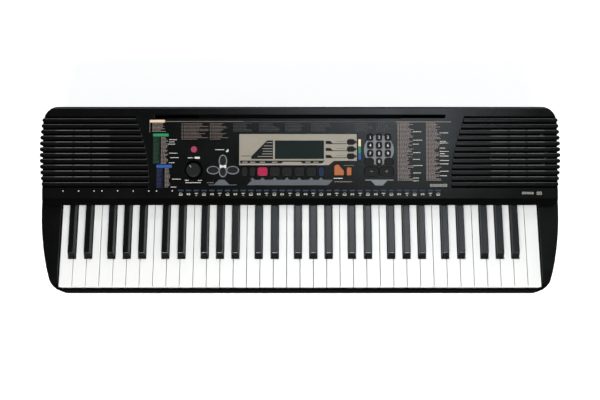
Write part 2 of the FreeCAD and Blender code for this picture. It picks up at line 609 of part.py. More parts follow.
# The panel is sunk a little between the ribs, from the first rib to the last
rib_zones = []
zone_front = rib_places[0] - s.rib_pitch + s.rib_width / 2
zone_rear = rib_places[-1] + s.rib_pitch - s.rib_width / 2
zone_places = [zone_front, *rib_places[1:-1], zone_rear]
for side in (-1, 1):
    edge_points = [(side * (end + s.rib_sink), d) for end, d in zip(rib_ends, zone_places)]
    corner_points = [(side * s.case_width, zone_rear), (side * s.case_width, zone_front)]
    rib_zones.append(prism(f"rib_zone_{side + 1}", lambda sketch: draw_polygon(
        sketch, edge_points + corner_points), -s.rib_sink, hole_high))
for i in range(RIB_COUNT):
    d = rib_places[i]
    bulge = 1 - 0.8 * ((i - rib_middle) / rib_middle) ** 2
    inner = rib_ends[i]
    outer = panel_half + bulge * s.rib_overhang - s.rib_width / 2
    for side in (-1, 1):
        label = f"rib_{i}_{'right' if side > 0 else 'left'}"
        ribs.append(prism(label, draw_rib(side, inner, outer, d), -s.rib_skirt, s.rib_height))
    groove = d + s.rib_pitch / 2
    off = groove - speaker_d
    if i == RIB_COUNT - 1 or abs(off.value) > s.grille_radius.value - s.rib_pitch.value / 4:
        continue
    chord = root(s.grille_radius * s.grille_radius - off * off)
    inside = s.bridge_offset - s.bridge_width / 2
    spans = [(-inside, inside)] if chord.value > inside.value else [(-chord, chord)]
    if chord.value > s.bridge_offset.value + 2 * s.bridge_width.value:
        outside = s.bridge_offset + s.bridge_width / 2
        spans += [(-chord, -outside), (outside, chord)]
    for side in (-1, 1):
        for number, (low, high) in enumerate(spans):
            centre = side * speaker_x
            slots.append(box(f"slot_{i}_{side + 1}_{number}", (centre + low, centre + high),
                             (groove - s.grille_slot / 2, groove + s.grille_slot / 2), (hole_low, hole_high)))

# Screws join the two case halves from below at these places
SCREWS = [(side * x, y) for side in (-1, 1) for x, y in (
    (panel_half - s.post_side, half_depth - s.post_rear), (panel_half - s.post_side, s.post_middle),
    (well_half + s.post_cheek, s.post_front - half_depth),
    (s.bay_width / 2 + s.bay_ledge + s.bay_wall + s.post_bay, half_depth - s.post_back))]
seat_z = s.split_z - s.seat_below_split
screw_tip = s.split_z + s.screw_bite
screw_posts = []
pilots = []
tubes = []
tube_holes = []
screws = []
screw = turned("screw_turning", [(0, -s.head_height), (s.head_radius, -s.head_height), (s.head_radius, 0),
                                 (s.shank_radius, 0), (s.shank_radius, screw_tip - seat_z),
                                 (0, screw_tip - seat_z)])
for n, (x, y) in enumerate(SCREWS, start=1):
    top = deck_z(y) - deck_drop / 2 if y.value > 0 else s.cheek_top_z - s.case_wall / 2
    screw_posts.append(cylinder(f"screw_post_{n}", x, y, (s.split_z, top), s.upper_post_radius))
    pilots.append(cylinder(f"pilot_{n}", x, y, (s.split_z - 1, screw_tip + 1), s.shank_radius + s.shank_gap))
    tubes.append(cylinder(f"tube_{n}", x, y, (floor_z - 1, s.split_z), s.tube_radius))
    tube_holes.append(cylinder(f"counterbore_{n}", x, y, (0, seat_z), s.head_radius + s.head_gap))
    tube_holes.append(cylinder(f"shank_hole_{n}", x, y, (seat_z - 1, s.split_z + 1),
                               s.shank_radius + s.shank_gap))
    screws.append(copy_at(f"case_screw_{n}", screw, x, y, seat_z))
nodes["case_screws"] = compound("case_screws", screws)

# Upper case: cheeks and sloping panel in one moulding
nose_front, nose_rise = -half_depth, s.cheek_top_z - s.cheek_front_z
NOSE = ((0, 0), (0.05, 0.26), (0.16, 0.52), (0.34, 0.75), (0.6, 0.92), (1, 1))


def nose(inset):
    return [(nose_front + inset + u * s.cheek_nose, s.cheek_front_z - inset + v * nose_rise) for u, v in NOSE]


outline = prism("upper_outline", lambda sketch: draw_case_outline(sketch, as_size(0)), s.split_z, above)
cheek_side = side_bar("cheek_side", [(nose_front, s.split_z), *nose(as_size(0)),
                                     (half_depth, s.cheek_top_z), (half_depth, s.split_z)], 2 * s.case_width)
low_block = common("low_block", [outline, cheek_side])
panel_low = s.cheek_top_z - s.case_wall / 2
panel_plan = prism("panel_plan", lambda sketch: draw_round_box(
    sketch, -panel_half, panel_half, -s.lip_reach, half_depth, s.panel_corner, s.rear_radius),
    panel_low, above)
rear_y = half_depth - s.deck_edge
rear_z = deck_z(rear_y)
panel_side = side_bar("panel_side", [
    (-s.lip_reach, panel_low), (-s.lip_reach, s.deck_front_z - s.lip_drop), (as_size(0), s.deck_front_z),
    (rear_y, rear_z), (rear_y + 0.7 * s.deck_edge, rear_z - 0.3 * s.deck_edge),
    (half_depth, rear_z - s.deck_edge), (half_depth, panel_low)], 2 * s.case_width)
panel_block = cut("panel_block", common("panel_full", [panel_plan, panel_side]),
                  on_deck(compound("rib_zones", rib_zones)))
rib_set = on_deck(compound("rib_set", ribs))
upper_solid = fuse("upper_solid", [low_block, panel_block, rib_set])

wall = s.case_wall
below = s.split_z - 1
inner_outline = prism("upper_inner_outline", lambda sketch: draw_case_outline(sketch, wall), below, above)
cheek_inner_side = side_bar("cheek_inner_side", [
    (nose_front + wall, below), *nose(wall), (half_depth - wall, s.cheek_top_z - wall),
    (half_depth - wall, below)], 2 * s.case_width)
beside_well = box("beside_well", (-well_half - wall, well_half + wall), (-half_depth, half_depth), (0, above))
cheek_hollow = cut("cheek_hollow", common("cheek_inner", [inner_outline, cheek_inner_side]), beside_well)
inner_plan = prism("panel_inner_plan", lambda sketch: draw_round_box(
    sketch, wall - panel_half, panel_half - wall, wall - s.lip_reach, half_depth - wall,
    s.panel_corner - wall, s.rear_radius - wall), below, above)
inner_rear_z = rear_z - deck_drop
panel_inner_side = side_bar("panel_inner_side", [
    (-s.lip_reach, below), (-s.lip_reach, lip_under_z), (as_size(1), deck_z(1) - deck_drop),
    (rear_y, inner_rear_z), (half_depth, inner_rear_z - s.deck_edge), (half_depth, below)], 2 * s.case_width)
panel_hollow = common("panel_hollow", [inner_plan, panel_inner_side])
key_well = box("key_well", (-well_half, well_half), (-half_depth - 5, -s.lip_reach), (below, above))
under_lip = side_bar("under_lip", [
    (-s.lip_reach - 1, below), (-s.lip_reach - 1, lip_under_z), (-s.lip_reach, lip_under_z),
    (as_size(1), deck_z(1) - deck_drop), (pivot_y, deck_z(pivot_y) - deck_drop),
    (pivot_y, below)], 2 * well_half)
upper_hollow = fuse("upper_hollow", [cheek_hollow, panel_hollow, key_well, under_lip])
upper_shell = cut("upper_shell", upper_solid, upper_hollow)

# Music-rest pockets hang under the panel near its rear edge
rest_half = rib_ends[-1] - s.rest_margin
rest_front, rest_rear = rest_y - s.rest_width / 2, rest_y + s.rest_width / 2
rest_top = deck_z(rest_front)
rest_floor = rest_top - s.rest_depth
pocket_walls = []
pockets = []
for side in (-1, 1):
    inner, outer = rest_half - s.rest_length, rest_half
    low, high = (inner, outer) if side > 0 else (-outer, -inner)
    pockets.append(box(f"rest_pocket_{side + 1}", (low, high), (rest_front, rest_rear), (rest_floor, above)))
    pocket_walls.append(box(f"rest_walls_{side + 1}", (low - s.rest_wall, high + s.rest_wall),
                            (rest_front - s.rest_wall, rest_rear + s.rest_wall),
                            (rest_floor - s.rest_wall, rest_top - deck_drop / 2)))
groove_reach = rest_half - s.rest_length / 2
rest_d = rest_y / cosine(s.deck_tilt)
rest_groove = box("rest_groove", (-groove_reach, groove_reach),
                  (rest_d - s.rest_width / 2, rest_d + s.rest_width / 2), (-s.rest_groove, hole_high))
panel_posts = on_deck(compound("panel_posts", posts))
upper_full = fuse("upper_full", [upper_shell, panel_posts, *screw_posts, *pocket_walls])
sunk = {"display_cut": [window_recess, screen_hole, *(holes.pop(f"select_button_{n}_1") for n in (1, 2, 3))],
        "knob_cut": [stem_hole, knob_recess], "power_cut": [power_recess, holes.pop("power_button_1")]}
deck_cuts = on_deck(compound("deck_cuts", [
    *holes.values(), *slots, rest_groove, *(fuse(name, tools) for name, tools in sunk.items())]))
upper_cut = cut("upper_cut", upper_full, deck_cuts)
nodes["upper_case"] = cut("upper_case", upper_cut, compound("upright_cuts", [*pockets, *pilots]))

# Speakers: turned frames and cones under the slots, in the panel's own frame
basket_top = -s.deck_wall
ring_low = basket_top - s.flange_ring
basket_low = ring_low - s.basket_depth
inner_low = basket_low + s.basket_wall
frame = turned("speaker_turning", [
    (s.speaker_hole, basket_top), (s.speaker_radius, basket_top), (s.speaker_radius, ring_low),
    (s.speaker_hole + s.basket_wall, ring_low), (s.magnet_radius, basket_low),
    (s.magnet_radius, basket_low - s.magnet_depth), (0, basket_low - s.magnet_depth), (0, inner_low),
    (s.magnet_radius - s.basket_wall, inner_low), (s.speaker_hole, ring_low)])
cone_top = ring_low + s.cone_gap
cone_outer = s.speaker_hole - s.cone_gap
cone_low = inner_low + 2 * s.cone_gap
cone_inner = s.magnet_radius / 2
cone = turned("cone_turning", [
    (0, cone_low), (cone_inner, cone_low), (cone_outer, cone_top - s.cone_wall), (cone_outer, cone_top),
    (cone_outer - s.cone_gap, cone_top), (cone_inner, cone_low + 2 * s.cone_wall),
    (0, cone_low + 5 * s.cone_wall)])
for node, piece in (("speaker_frames", frame), ("speaker_cones", cone)):
    nodes[node] = on_deck(compound(node, [copy_at(f"{node}_left", piece, -speaker_x, speaker_d),
                                          copy_at(f"{node}_right", piece, speaker_x, speaker_d)]))

# White and black keys of one octave, hollow from below, on a common hinge rod
first_x = -key_half
octave = 7 * s.key_pitch
three = (3 * s.key_pitch - 2 * s.black_slot) / 3
four = (4 * s.key_pitch - 3 * s.black_slot) / 4
half_gap = s.key_gap / 2
key_low = s.white_top_z - s.white_height
inside_top = s.white_top_z - s.key_wall
tail_end = pivot_y + s.key_tail
TAILS = {
    "c": (half_gap, three), "d": (three + s.black_slot, 2 * three + s.black_slot),
    "e": (2 * three + 2 * s.black_slot, 3 * s.key_pitch - half_gap),
    "f": (3 * s.key_pitch + half_gap, 3 * s.key_pitch + four),
    "g": (3 * s.key_pitch + four + s.black_slot, 3 * s.key_pitch + 2 * four + s.black_slot),
    "a": (3 * s.key_pitch + 2 * four + 2 * s.black_slot, 3 * s.key_pitch + 3 * four + 2 * s.black_slot),
    "b": (3 * s.key_pitch + 3 * four + 3 * s.black_slot, octave - half_gap),
}
BLACKS = (three + s.black_slot / 2, 2 * three + 1.5 * s.black_slot, 3 * s.key_pitch + four + s.black_slot / 2,
          3 * s.key_pitch + 2 * four + 1.5 * s.black_slot, 3 * s.key_pitch + 3 * four + 2.5 * s.black_slot)


def hollow_key(name, outer, inner, x, top):
    reach = s.key_pitch
    bore = cylinder(f"{name}_bore", (x - reach, x + reach), pivot_y, s.pivot_z,
                    s.rod_radius + s.pivot_gap, "x")
    span, along = s.plunger_width / 2, s.plunger_length / 2
    plunger = box(f"{name}_plunger", (x - span, x + span), (-plunger_y - along, -plunger_y + along),
                  (key_low - s.plunger_drop, top - s.key_wall / 2))
    shell = cut(f"{name}_shell", fuse(f"{name}_outer", outer), fuse(f"{name}_inner", [*inner, bore]))
    return fuse(name, [shell, plunger])


def white_key(name, number, tail):
    left = first_x + number * s.key_pitch + half_gap
    right = first_x + (number + 1) * s.key_pitch - half_gap
    tail_left, tail_right = first_x + tail[0], first_x + tail[1]
    front, shoulder = -white_front, -black_front - s.black_notch
    w = s.key_wall
    outer = [box(f"{name}_head", (left, right), (front, shoulder), (key_low, s.white_top_z)),
             box(f"{name}_tail", (tail_left, tail_right), (front + w, tail_end), (key_low, s.white_top_z))]
    inner = [box(f"{name}_head_room", (left + w, right - w), (front + w, shoulder - w), (0, inside_top)),
             box(f"{name}_tail_room", (tail_left + w, tail_right - w), (front + w, tail_end - w),
                 (0, inside_top))]
    return hollow_key(name, outer, inner, (tail_left + tail_right) / 2, s.white_top_z)


def black_key(name, centre):
    x = first_x + centre
    span, w, rear = black_width / 2, s.key_wall, s.black_cap_rear
    top_span = black_top_width / 2
    base = box(f"{name}_base", (x - span, x + span), (-black_front, tail_end), (key_low, s.white_top_z))
    cap = doc.addObject("Part::Wedge", f"{name}_cap")
    turn(cap, X_AXIS, 90)
    spans = {"Xmin": -span, "Xmax": span, "X2min": -top_span, "X2max": top_span, "Ymin": 0,
             "Ymax": s.black_height, "Zmin": -rear, "Zmax": black_front, "Z2min": -rear,
             "Z2max": black_front - s.black_slope}
    for prop, amount in spans.items():
        bind(cap, prop, amount)
    move(cap, x, 0, s.white_top_z)
    room = box(f"{name}_room", (x - span + w, x + span - w), (w - black_front, tail_end - w),
               (0, inside_top))
    cap_room = box(f"{name}_cap_room", (x - top_span + w, x + top_span - w),
                   (s.black_slope + w - black_front, rear - w), (0, s.white_top_z + s.black_height - w))
    return hollow_key(name, [base, cap], [room, cap_room], x, s.white_top_z + s.black_height)


whites = {note: white_key(f"white_{note}", i, tail) for i, (note, tail) in enumerate(TAILS.items())}
blacks = [black_key(f"black_{i}", centre) for i, centre in enumerate(BLACKS, start=1)]
COMBS = {"keys_cegb": [whites[n] for n in "cegb"], "keys_dfa": [whites[n] for n in "dfa"],
         "keys_black": blacks}
for comb, pieces in COMBS.items():
    for number in range(OCTAVES):
        node = f"{comb}_{number + 1}"
        nodes[node] = move(compound(node, pieces), number * octave)
high_c = white_key("high_c", 0, (half_gap, s.key_pitch - half_gap))
nodes["key_high_c"] = move(compound("key_high_c", [high_c]), OCTAVES * octave)

# Hinge rod
rod_half = key_half - s.key_gap
nodes["hinge_rod"] = compound("hinge_rod", [
    cylinder("rod", (-rod_half, rod_half), pivot_y, s.pivot_z, s.rod_radius, "x")])


# Key chassis on legs: stop rails, guides in the hollow keys, hinge brackets
def dip_at(distance):
    return (pivot_y + distance) * sine(s.key_dip)


white_stop = key_low - dip_at(felt_white_front) - s.stop_gap
black_stop = key_low - dip_at(felt_black_front) - s.stop_gap
chassis_half = key_half - s.chassis_margin
plate_top = s.chassis_z + s.chassis_wall
across = (-chassis_half, chassis_half)
chassis_front = white_front - s.chassis_front
chassis = [box("chassis_plate", across, (-chassis_front, pivot_y + s.chassis_rear), (s.chassis_z, plate_top))]
channels = []
rails = []


# A rail is a channel, open below
def channel(name, front, rear, top):
    w = s.chassis_wall
    chassis.append(box(name, across, (front, rear), (s.chassis_z, top)))
    channels.append(box(f"{name}_room", across, (front + w, rear - w), (s.chassis_z - 1, top - w)))


STOPS = (("white", felt_white_front, white_stop), ("black", felt_black_front, black_stop))
for name, felt_front, stop in STOPS:
    front = -felt_front - s.guide_length - 4
    rear = -felt_front + s.felt_width
    rails.append((front + 1, stop - s.felt_thick))
    channel(f"{name}_rail", front, rear, stop - s.felt_thick)
hinge_low = s.pivot_z - s.white_height / 2 - 2
channel("hinge_bar", pivot_y - 6, pivot_y + 6, hinge_low)
board_half = s.dome_strip / 2 + s.contact_board_margin
for sign in (-1, 1):
    y = -plunger_y + sign * (board_half - 3)
    chassis.append(box(f"board_rib_{sign + 1}", across, (y - 2, y + 2), (s.chassis_z, s.contact_board_z)))
for i in range(6):
    x = (i - 2.5) / 2.5 * (chassis_half - s.leg_width)
    for j, y in enumerate((-chassis_front + s.leg_width, -plunger_y, pivot_y)):
        span = s.leg_width / 2
        chassis.append(box(f"leg_{i}_{j}", (x - span, x + span), (y - span, y + span),
                           (floor_z, s.chassis_z + 1)))
key_places = []
brackets = []
for k in range(OCTAVES):
    start = first_x + k * octave
    key_places += [("white", start + (i + 0.5) * s.key_pitch) for i in range(7)]
    key_places += [("black", start + centre) for centre in BLACKS]
    brackets += [start + (TAILS[note][0] + TAILS[note][1]) / 2 for note in "da"]
key_places.append(("white", key_half - s.key_pitch / 2))
guides = {"white": (*rails[0], key_low), "black": (*rails[1], key_low)}
for n, (colour, x) in enumerate(key_places):
    y, low, top = guides[colour]
    span = s.guide_width / 2
    chassis.append(box(f"guide_{n}", (x - span, x + span), (y, y + s.guide_length),
                       (low - 1, top + s.guide_rise)))
bracket_width = four - 2 * (s.key_wall + s.bracket_gap)
for n, x in enumerate(brackets):
    span, reach = bracket_width / 2, s.rod_radius + 2
    chassis.append(box(f"bracket_{n}", (x - span, x + span), (pivot_y - reach, pivot_y + reach),
                       (hinge_low - 1, s.pivot_z + reach)))
rod_bore = cylinder("rod_bore", across, pivot_y, s.pivot_z, s.rod_radius + s.pivot_gap / 2, "x")
nodes["key_chassis"] = cut("key_chassis", fuse("chassis_solid", chassis),
                           compound("chassis_cuts", [*channels, rod_bore]))
felts = []
for name, felt_front, stop in STOPS:
    felts.append(box(f"{name}_felt", across, (-felt_front, -felt_front + s.felt_width),
                     (stop - s.felt_thick, stop)))
nodes["stop_felts"] = compound("stop_felts", felts)

# Contact board on the chassis, and rubber domes under every key's plunger
board_top = s.contact_board_z + s.board_thick
nodes["contact_board"] = compound("contact_board", [
    box("contact_sheet", across, (-plunger_y - board_half, -plunger_y + board_half),
        (s.contact_board_z, board_top))])
strip_half = s.dome_strip / 2
strip_top = board_top + s.dome_base
domes = [box("dome_strip_base", across, (-plunger_y - strip_half, -plunger_y + strip_half),
             (board_top, strip_top))]
dome_places = []
for k in range(OCTAVES):
    start = first_x + k * octave
    dome_places += [start + (tail[0] + tail[1]) / 2 for tail in TAILS.values()]
    dome_places += [start + centre for centre in BLACKS]
dome_places.append(key_half - s.key_pitch / 2)
for n, x in enumerate(dome_places):
    domes.append(cylinder(f"dome_{n}", x, -plunger_y, (strip_top - 1, strip_top + s.dome_height),
                          s.dome_radius))
nodes["contact_rubbers"] = fuse("contact_rubbers", domes)

# Rear sockets stand on the main board and fill square windows in the rear wall
SOCKETS = {"pedal": "jack", "link_out": "din", "link_in": "din", "phones": "jack", "supply": "inlet"}
socket_sizes = {"jack": (s.jack_width, s.jack_radius, s.jack_depth),
                "din": (s.din_width, s.din_radius, s.din_depth),
                "inlet": (s.inlet_width, s.inlet_radius, s.inlet_depth)}
main_top = s.socket_base_z + s.board_thick
socket_mid = main_top + s.socket_height / 2
sockets = []
windows = []
x = s.socket_first
for name, kind in SOCKETS.items():
    width, radius, depth = socket_sizes[kind]
    span, gap = width / 2, s.socket_gap
    x = x + span
    shell = box(f"{name}_shell", (x - span, x + span), (half_depth - s.socket_depth, half_depth),
                (main_top, main_top + s.socket_height))
    bore = cylinder(f"{name}_bore", x, (half_depth - depth, half_depth + 1), socket_mid, radius, "y")
    sockets.append(cut(f"{name}_socket", shell, bore))
    windows.append(box(f"{name}_window", (x - span - gap, x + span + gap),
                       (half_depth - 2 * wall, half_depth + 1),
                       (main_top - gap, main_top + s.socket_height + gap)))
    x = x + span + s.socket_space
nodes["rear_sockets"] = compound("rear_sockets", sockets)
main_rear = half_depth - wall - s.socket_gap
main_front, main_right = half_depth - s.main_board_depth, half_width - s.main_board_inset
main_board = box("main_sheet", (s.main_board_left, main_right), (main_front, main_rear),
                 (s.socket_base_z, main_top))
nodes["main_board"] = compound("main_board", [main_board])
margin = 2 * s.board_post_radius
board_corners = [(x, y) for x in (s.main_board_left + margin, main_right - margin)
                 for y in (main_front + margin, main_rear - margin)]
board_posts = [cylinder(f"board_post_{n}", x, y, (floor_z - 1, s.socket_base_z), s.board_post_radius)
               for n, (x, y) in enumerate(board_corners)]

# Battery bay in the floor, its cover and contact plates
bay_top = s.foot_height + s.bay_height
ledge = s.bay_ledge
bay_x, bay_y = s.bay_width / 2, s.bay_length / 2
cover_top = s.foot_height + s.case_wall


def bay_box(name, grow, low, high):
    return box(name, (-bay_x - grow, bay_x + grow), (bay_middle - bay_y - grow, bay_middle + bay_y + grow),
               (low, high))


bay_walls = bay_box("bay_walls", ledge + s.bay_wall, s.foot_height, bay_top + s.bay_wall)
bay_room = bay_box("bay_room", as_size(0), s.foot_height - 1, bay_top)
bay_rebate = bay_box("bay_rebate", ledge, s.foot_height - 1, cover_top + s.cover_gap)
nodes["battery_cover"] = compound("battery_cover", [
    bay_box("cover_plate", ledge - s.cover_gap, s.foot_height, cover_top)])
contacts = []
for side in (-1, 1):
    for row in (-1, 0, 1):
        y = bay_middle + row * s.bay_length / 3
        span, mid = s.contact_size / 2, (cover_top + bay_top) / 2
        face = side * bay_x
        low, high = (face, face + s.contact_plate) if side < 0 else (face - s.contact_plate, face)
        plate = box(f"plate_{side + 1}_{row + 1}", (low, high), (y - span, y + span),
                    (mid - span, mid + span))
        tip = (face, face + s.contact_bump) if side < 0 else (face - s.contact_bump, face)
        bump = cylinder(f"bump_{side + 1}_{row + 1}", tip, y, mid, span / 2, "x")
        contacts.append(fuse(f"contact_{side + 1}_{row + 1}", [plate, bump]))
nodes["battery_contacts"] = compound("battery_contacts", contacts)

# Lower case: tray with front rail, battery bay, tubes, posts and openings
tray = prism("tray", lambda sketch: draw_case_outline(sketch, as_size(0)), s.foot_height, s.split_z)
tray_inside = prism("tray_inside", lambda sketch: draw_case_outline(sketch, wall), floor_z, s.split_z + 1)


# The tray's front wall leans back towards its foot
def front_wedge(name, inset):
    slope = s.front_lean / (s.split_z - s.foot_height)
    front = -half_depth + inset
    return side_bar(name, [(-half_depth - wall, s.split_z), (front, s.split_z),
                           (front + slope * s.split_z, as_size(0)), (-half_depth - wall, as_size(0))],
                    2 * s.case_width)


tray_room = cut("tray_room", tray_inside, front_wedge("room_wedge", wall))
rail_plan = prism("rail_plan", lambda sketch: draw_case_outline(sketch, as_size(0)), floor_z, s.rail_top_z)
rail_reach = well_half - s.rail_gap
rail_bar = box("rail_bar", (-rail_reach, rail_reach), (-half_depth, -half_depth + s.rail_wall),
               (floor_z, s.rail_top_z))
front_rail = common("front_rail", [rail_plan, rail_bar])
tray_shell = cut("tray_shell", tray, tray_room)
lower_solid = fuse("lower_solid", [tray_shell, front_rail, bay_walls, *tubes, *board_posts])
tray_wedge = front_wedge("tray_wedge", as_size(0))
lower_cuts = fuse("lower_cuts", [bay_room, bay_rebate, tray_wedge, *tube_holes, *windows])
nodes["lower_case"] = cut("lower_case", lower_solid, lower_cuts)

# Rubber feet
foot = turned("foot_turning", [(0, 0), (s.foot_radius * 0.9, 0), (s.foot_radius, s.foot_height / 3),
                               (s.foot_radius, s.foot_height), (0, s.foot_height)])
foot_x, foot_y = half_width - s.foot_inset_x, half_depth - s.foot_inset_y
nodes["rubber_feet"] = compound("rubber_feet", [
    copy_at(f"foot_{n}", foot, x, y) for n, (x, y) in enumerate(
        [(-foot_x, -foot_y), (foot_x, -foot_y), (-foot_x, foot_y), (foot_x, foot_y), (as_size(0), -foot_y)])])

# Recompute, check every object and write one file per node
doc.recompute()
for obj in doc.Objects:
    if any(word in ("Invalid", "Error") for word in obj.State):
        raise RuntimeError(f"{obj.Name} did not compute: {obj.State}")
os.makedirs("parts", exist_ok=True)
for node, obj in nodes.items():
    obj.Label = node
    if obj.Shape.isNull() or not obj.Shape.isValid() or not obj.Shape.Solids:
        raise RuntimeError(f"{node} has no valid solid")
    obj.Shape.exportStep(f"parts/{node}.step")
    volume = obj.Shape.Volume / 1000
    FreeCAD.Console.PrintMessage(f"{node}: {len(obj.Shape.Solids)} solids, {volume:.1f} cm3\n")
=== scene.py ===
import math
import random

import bpy
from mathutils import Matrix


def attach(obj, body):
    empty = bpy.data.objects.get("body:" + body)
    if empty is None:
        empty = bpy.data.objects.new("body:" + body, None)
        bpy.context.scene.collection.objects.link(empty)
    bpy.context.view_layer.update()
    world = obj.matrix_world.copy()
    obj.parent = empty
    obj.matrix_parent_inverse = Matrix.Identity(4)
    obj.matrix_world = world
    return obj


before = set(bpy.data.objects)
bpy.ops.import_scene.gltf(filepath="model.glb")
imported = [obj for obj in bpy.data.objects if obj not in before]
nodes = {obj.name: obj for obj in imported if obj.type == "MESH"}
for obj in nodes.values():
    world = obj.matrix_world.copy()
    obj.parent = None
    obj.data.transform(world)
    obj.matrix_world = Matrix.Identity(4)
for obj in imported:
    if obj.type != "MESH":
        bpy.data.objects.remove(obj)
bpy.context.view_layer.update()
MM = 0.001


# Lower case: a black tray with the front rail, moulded in one shot and left with
# a fine spark-eroded grain. The battery cover is the same plastic, pushed in from
# below. The mould rounds every outward edge a little.
def new_socket(group, name, way, kind):
    return group.interface.new_socket(name, in_out=way, socket_type="NodeSocket" + kind)


CLOUD_SIZE = 17.0
GRAIN_STEP = 0.2 * MM
SHINE_SWING = 0.16


def build_grain_group():
    group = bpy.data.node_groups.new("moulded_grain", "ShaderNodeTree")
    new_socket(group, "Place", "INPUT", "Vector")
    new_socket(group, "Colour", "INPUT", "Color")
    new_socket(group, "Shine", "INPUT", "Float")
    new_socket(group, "Grain Size", "INPUT", "Float")
    new_socket(group, "Grain Depth", "INPUT", "Float")
    new_socket(group, "Cloud", "INPUT", "Float")
    new_socket(group, "Colour", "OUTPUT", "Color")
    new_socket(group, "Roughness", "OUTPUT", "Float")
    new_socket(group, "Normal", "OUTPUT", "Vector")
    add = group.nodes.new
    link = group.links.new
    start = add("NodeGroupInput")
    end = add("NodeGroupOutput")
    grain = add("ShaderNodeTexNoise")
    grain.inputs["Detail"].default_value = 3.0
    cloud = add("ShaderNodeTexNoise")
    cloud.inputs["Scale"].default_value = CLOUD_SIZE
    cloud.inputs["Detail"].default_value = 4.0
    link(start.outputs["Place"], grain.inputs["Vector"])
    link(start.outputs["Grain Size"], grain.inputs["Scale"])
    link(start.outputs["Place"], cloud.inputs["Vector"])
    swing = add("ShaderNodeMath")
    swing.operation = "SUBTRACT"
    swing.inputs[1].default_value = 0.5
    link(cloud.outputs["Fac"], swing.inputs[0])
    tone = add("ShaderNodeMath")
    tone.operation = "MULTIPLY_ADD"
    tone.inputs[2].default_value = 1.0
    link(swing.outputs[0], tone.inputs[0])
    link(start.outputs["Cloud"], tone.inputs[1])
    tint = add("ShaderNodeHueSaturation")
    link(start.outputs["Colour"], tint.inputs["Color"])
    link(tone.outputs[0], tint.inputs["Value"])
    link(tint.outputs["Color"], end.inputs["Colour"])
    polish = add("ShaderNodeMath")
    polish.operation = "MULTIPLY_ADD"
    polish.inputs[1].default_value = SHINE_SWING
    link(swing.outputs[0], polish.inputs[0])
    link(start.outputs["Shine"], polish.inputs[2])
    link(polish.outputs[0], end.inputs["Roughness"])
    relief = add("ShaderNodeBump")
    relief.inputs["Distance"].default_value = GRAIN_STEP
    link(grain.outputs["Fac"], relief.inputs["Height"])
    link(start.outputs["Grain Depth"], relief.inputs["Strength"])
    link(relief.outputs["Normal"], end.inputs["Normal"])
    return group


moulded_grain = build_grain_group()


def linear(colour):
    def channel(c):
        c = c / 255
        return c / 12.92 if c <= 0.04045 else ((c + 0.055) / 1.055) ** 2.4

    return tuple(channel(c) for c in colour) + (1.0,)


def grained_finish(
    name, colour, shine, grain=900.0, depth=0.2, cloud=0.3, metal=0.0, gloss=0.5
):
    finish = bpy.data.materials.new(name)
    finish.use_nodes = True
    tree = finish.node_tree
    shader = tree.nodes["Principled BSDF"]
    place = tree.nodes.new("ShaderNodeTexCoord")
    surface = tree.nodes.new("ShaderNodeGroup")
    surface.node_tree = moulded_grain
    surface.inputs["Colour"].default_value = linear(colour)
    surface.inputs["Shine"].default_value = shine
    surface.inputs["Grain Size"].default_value = grain
    surface.inputs["Grain Depth"].default_value = depth
    surface.inputs["Cloud"].default_value = cloud
    tree.links.new(place.outputs["Object"], surface.inputs["Place"])
    tree.links.new(surface.outputs["Colour"], shader.inputs["Base Color"])
    tree.links.new(surface.outputs["Roughness"], shader.inputs["Roughness"])
    tree.links.new(surface.outputs["Normal"], shader.inputs["Normal"])
    shader.inputs["Metallic"].default_value = metal
    shader.inputs["Specular IOR Level"].default_value = gloss
    return finish


def dress(finish, *names):
    for name in names:
        nodes[name].data.materials.clear()
        nodes[name].data.materials.append(finish)


SHARP_TURN = math.radians(38)
FLAT_TURN = math.radians(1)
SEAM = 0.002 * MM


def build_outward_group():
    group = bpy.data.node_groups.new("outward_edges", "GeometryNodeTree")
    new_socket(group, "Shape", "INPUT", "Geometry")
    new_socket(group, "Shape", "OUTPUT", "Geometry")
    add = group.nodes.new
    link = group.links.new
    start = add("NodeGroupInput")
    end = add("NodeGroupOutput")
    turn = add("GeometryNodeInputMeshEdgeAngle")
    sharp = add("ShaderNodeMath")
    sharp.operation = "GREATER_THAN"
    sharp.inputs[1].default_value = SHARP_TURN
    weight = add("GeometryNodeStoreNamedAttribute")
    weight.domain = "EDGE"
    weight.inputs["Name"].default_value = "bevel_weight_edge"
    link(turn.outputs["Signed Angle"], sharp.inputs[0])
    link(sharp.outputs[0], weight.inputs["Value"])
    link(start.outputs[0], weight.inputs["Geometry"])
    link(weight.outputs[0], end.inputs[0])
    return group


outward_edges = build_outward_group()


def soften(width, segments, *names):
    for name in names:
        weld = nodes[name].modifiers.new("joined_skin", "WELD")
        weld.merge_threshold = SEAM
        flat = nodes[name].modifiers.new("plain_faces", "DECIMATE")
        flat.decimate_type = "DISSOLVE"
        flat.angle_limit = FLAT_TURN
        outward = nodes[name].modifiers.new("outward_edges", "NODES")
        outward.node_group = outward_edges
        edge = nodes[name].modifiers.new("moulded_edge", "BEVEL")
        edge.width = width * MM
        edge.segments = segments
        edge.limit_method = "WEIGHT"
        edge.use_clamp_overlap = False
        edge.harden_normals = True
        split = nodes[name].modifiers.new("even_light", "WEIGHTED_NORMAL")
        split.keep_sharp = True


def ramped(tree, source, span, at_low, at_high):
    ramp = tree.nodes.new("ShaderNodeMapRange")
    ramp.inputs["From Min"].default_value = span[0]
    ramp.inputs["From Max"].default_value = span[1]
    ramp.inputs["To Min"].default_value = at_low
    ramp.inputs["To Max"].default_value = at_high
    tree.links.new(source, ramp.inputs["Value"])
    return ramp.outputs["Result"]


def rising(tree, source, span):
    return ramped(tree, source, span, 0.0, 1.0)


def falling(tree, source, span):
    return ramped(tree, source, span, 1.0, 0.0)


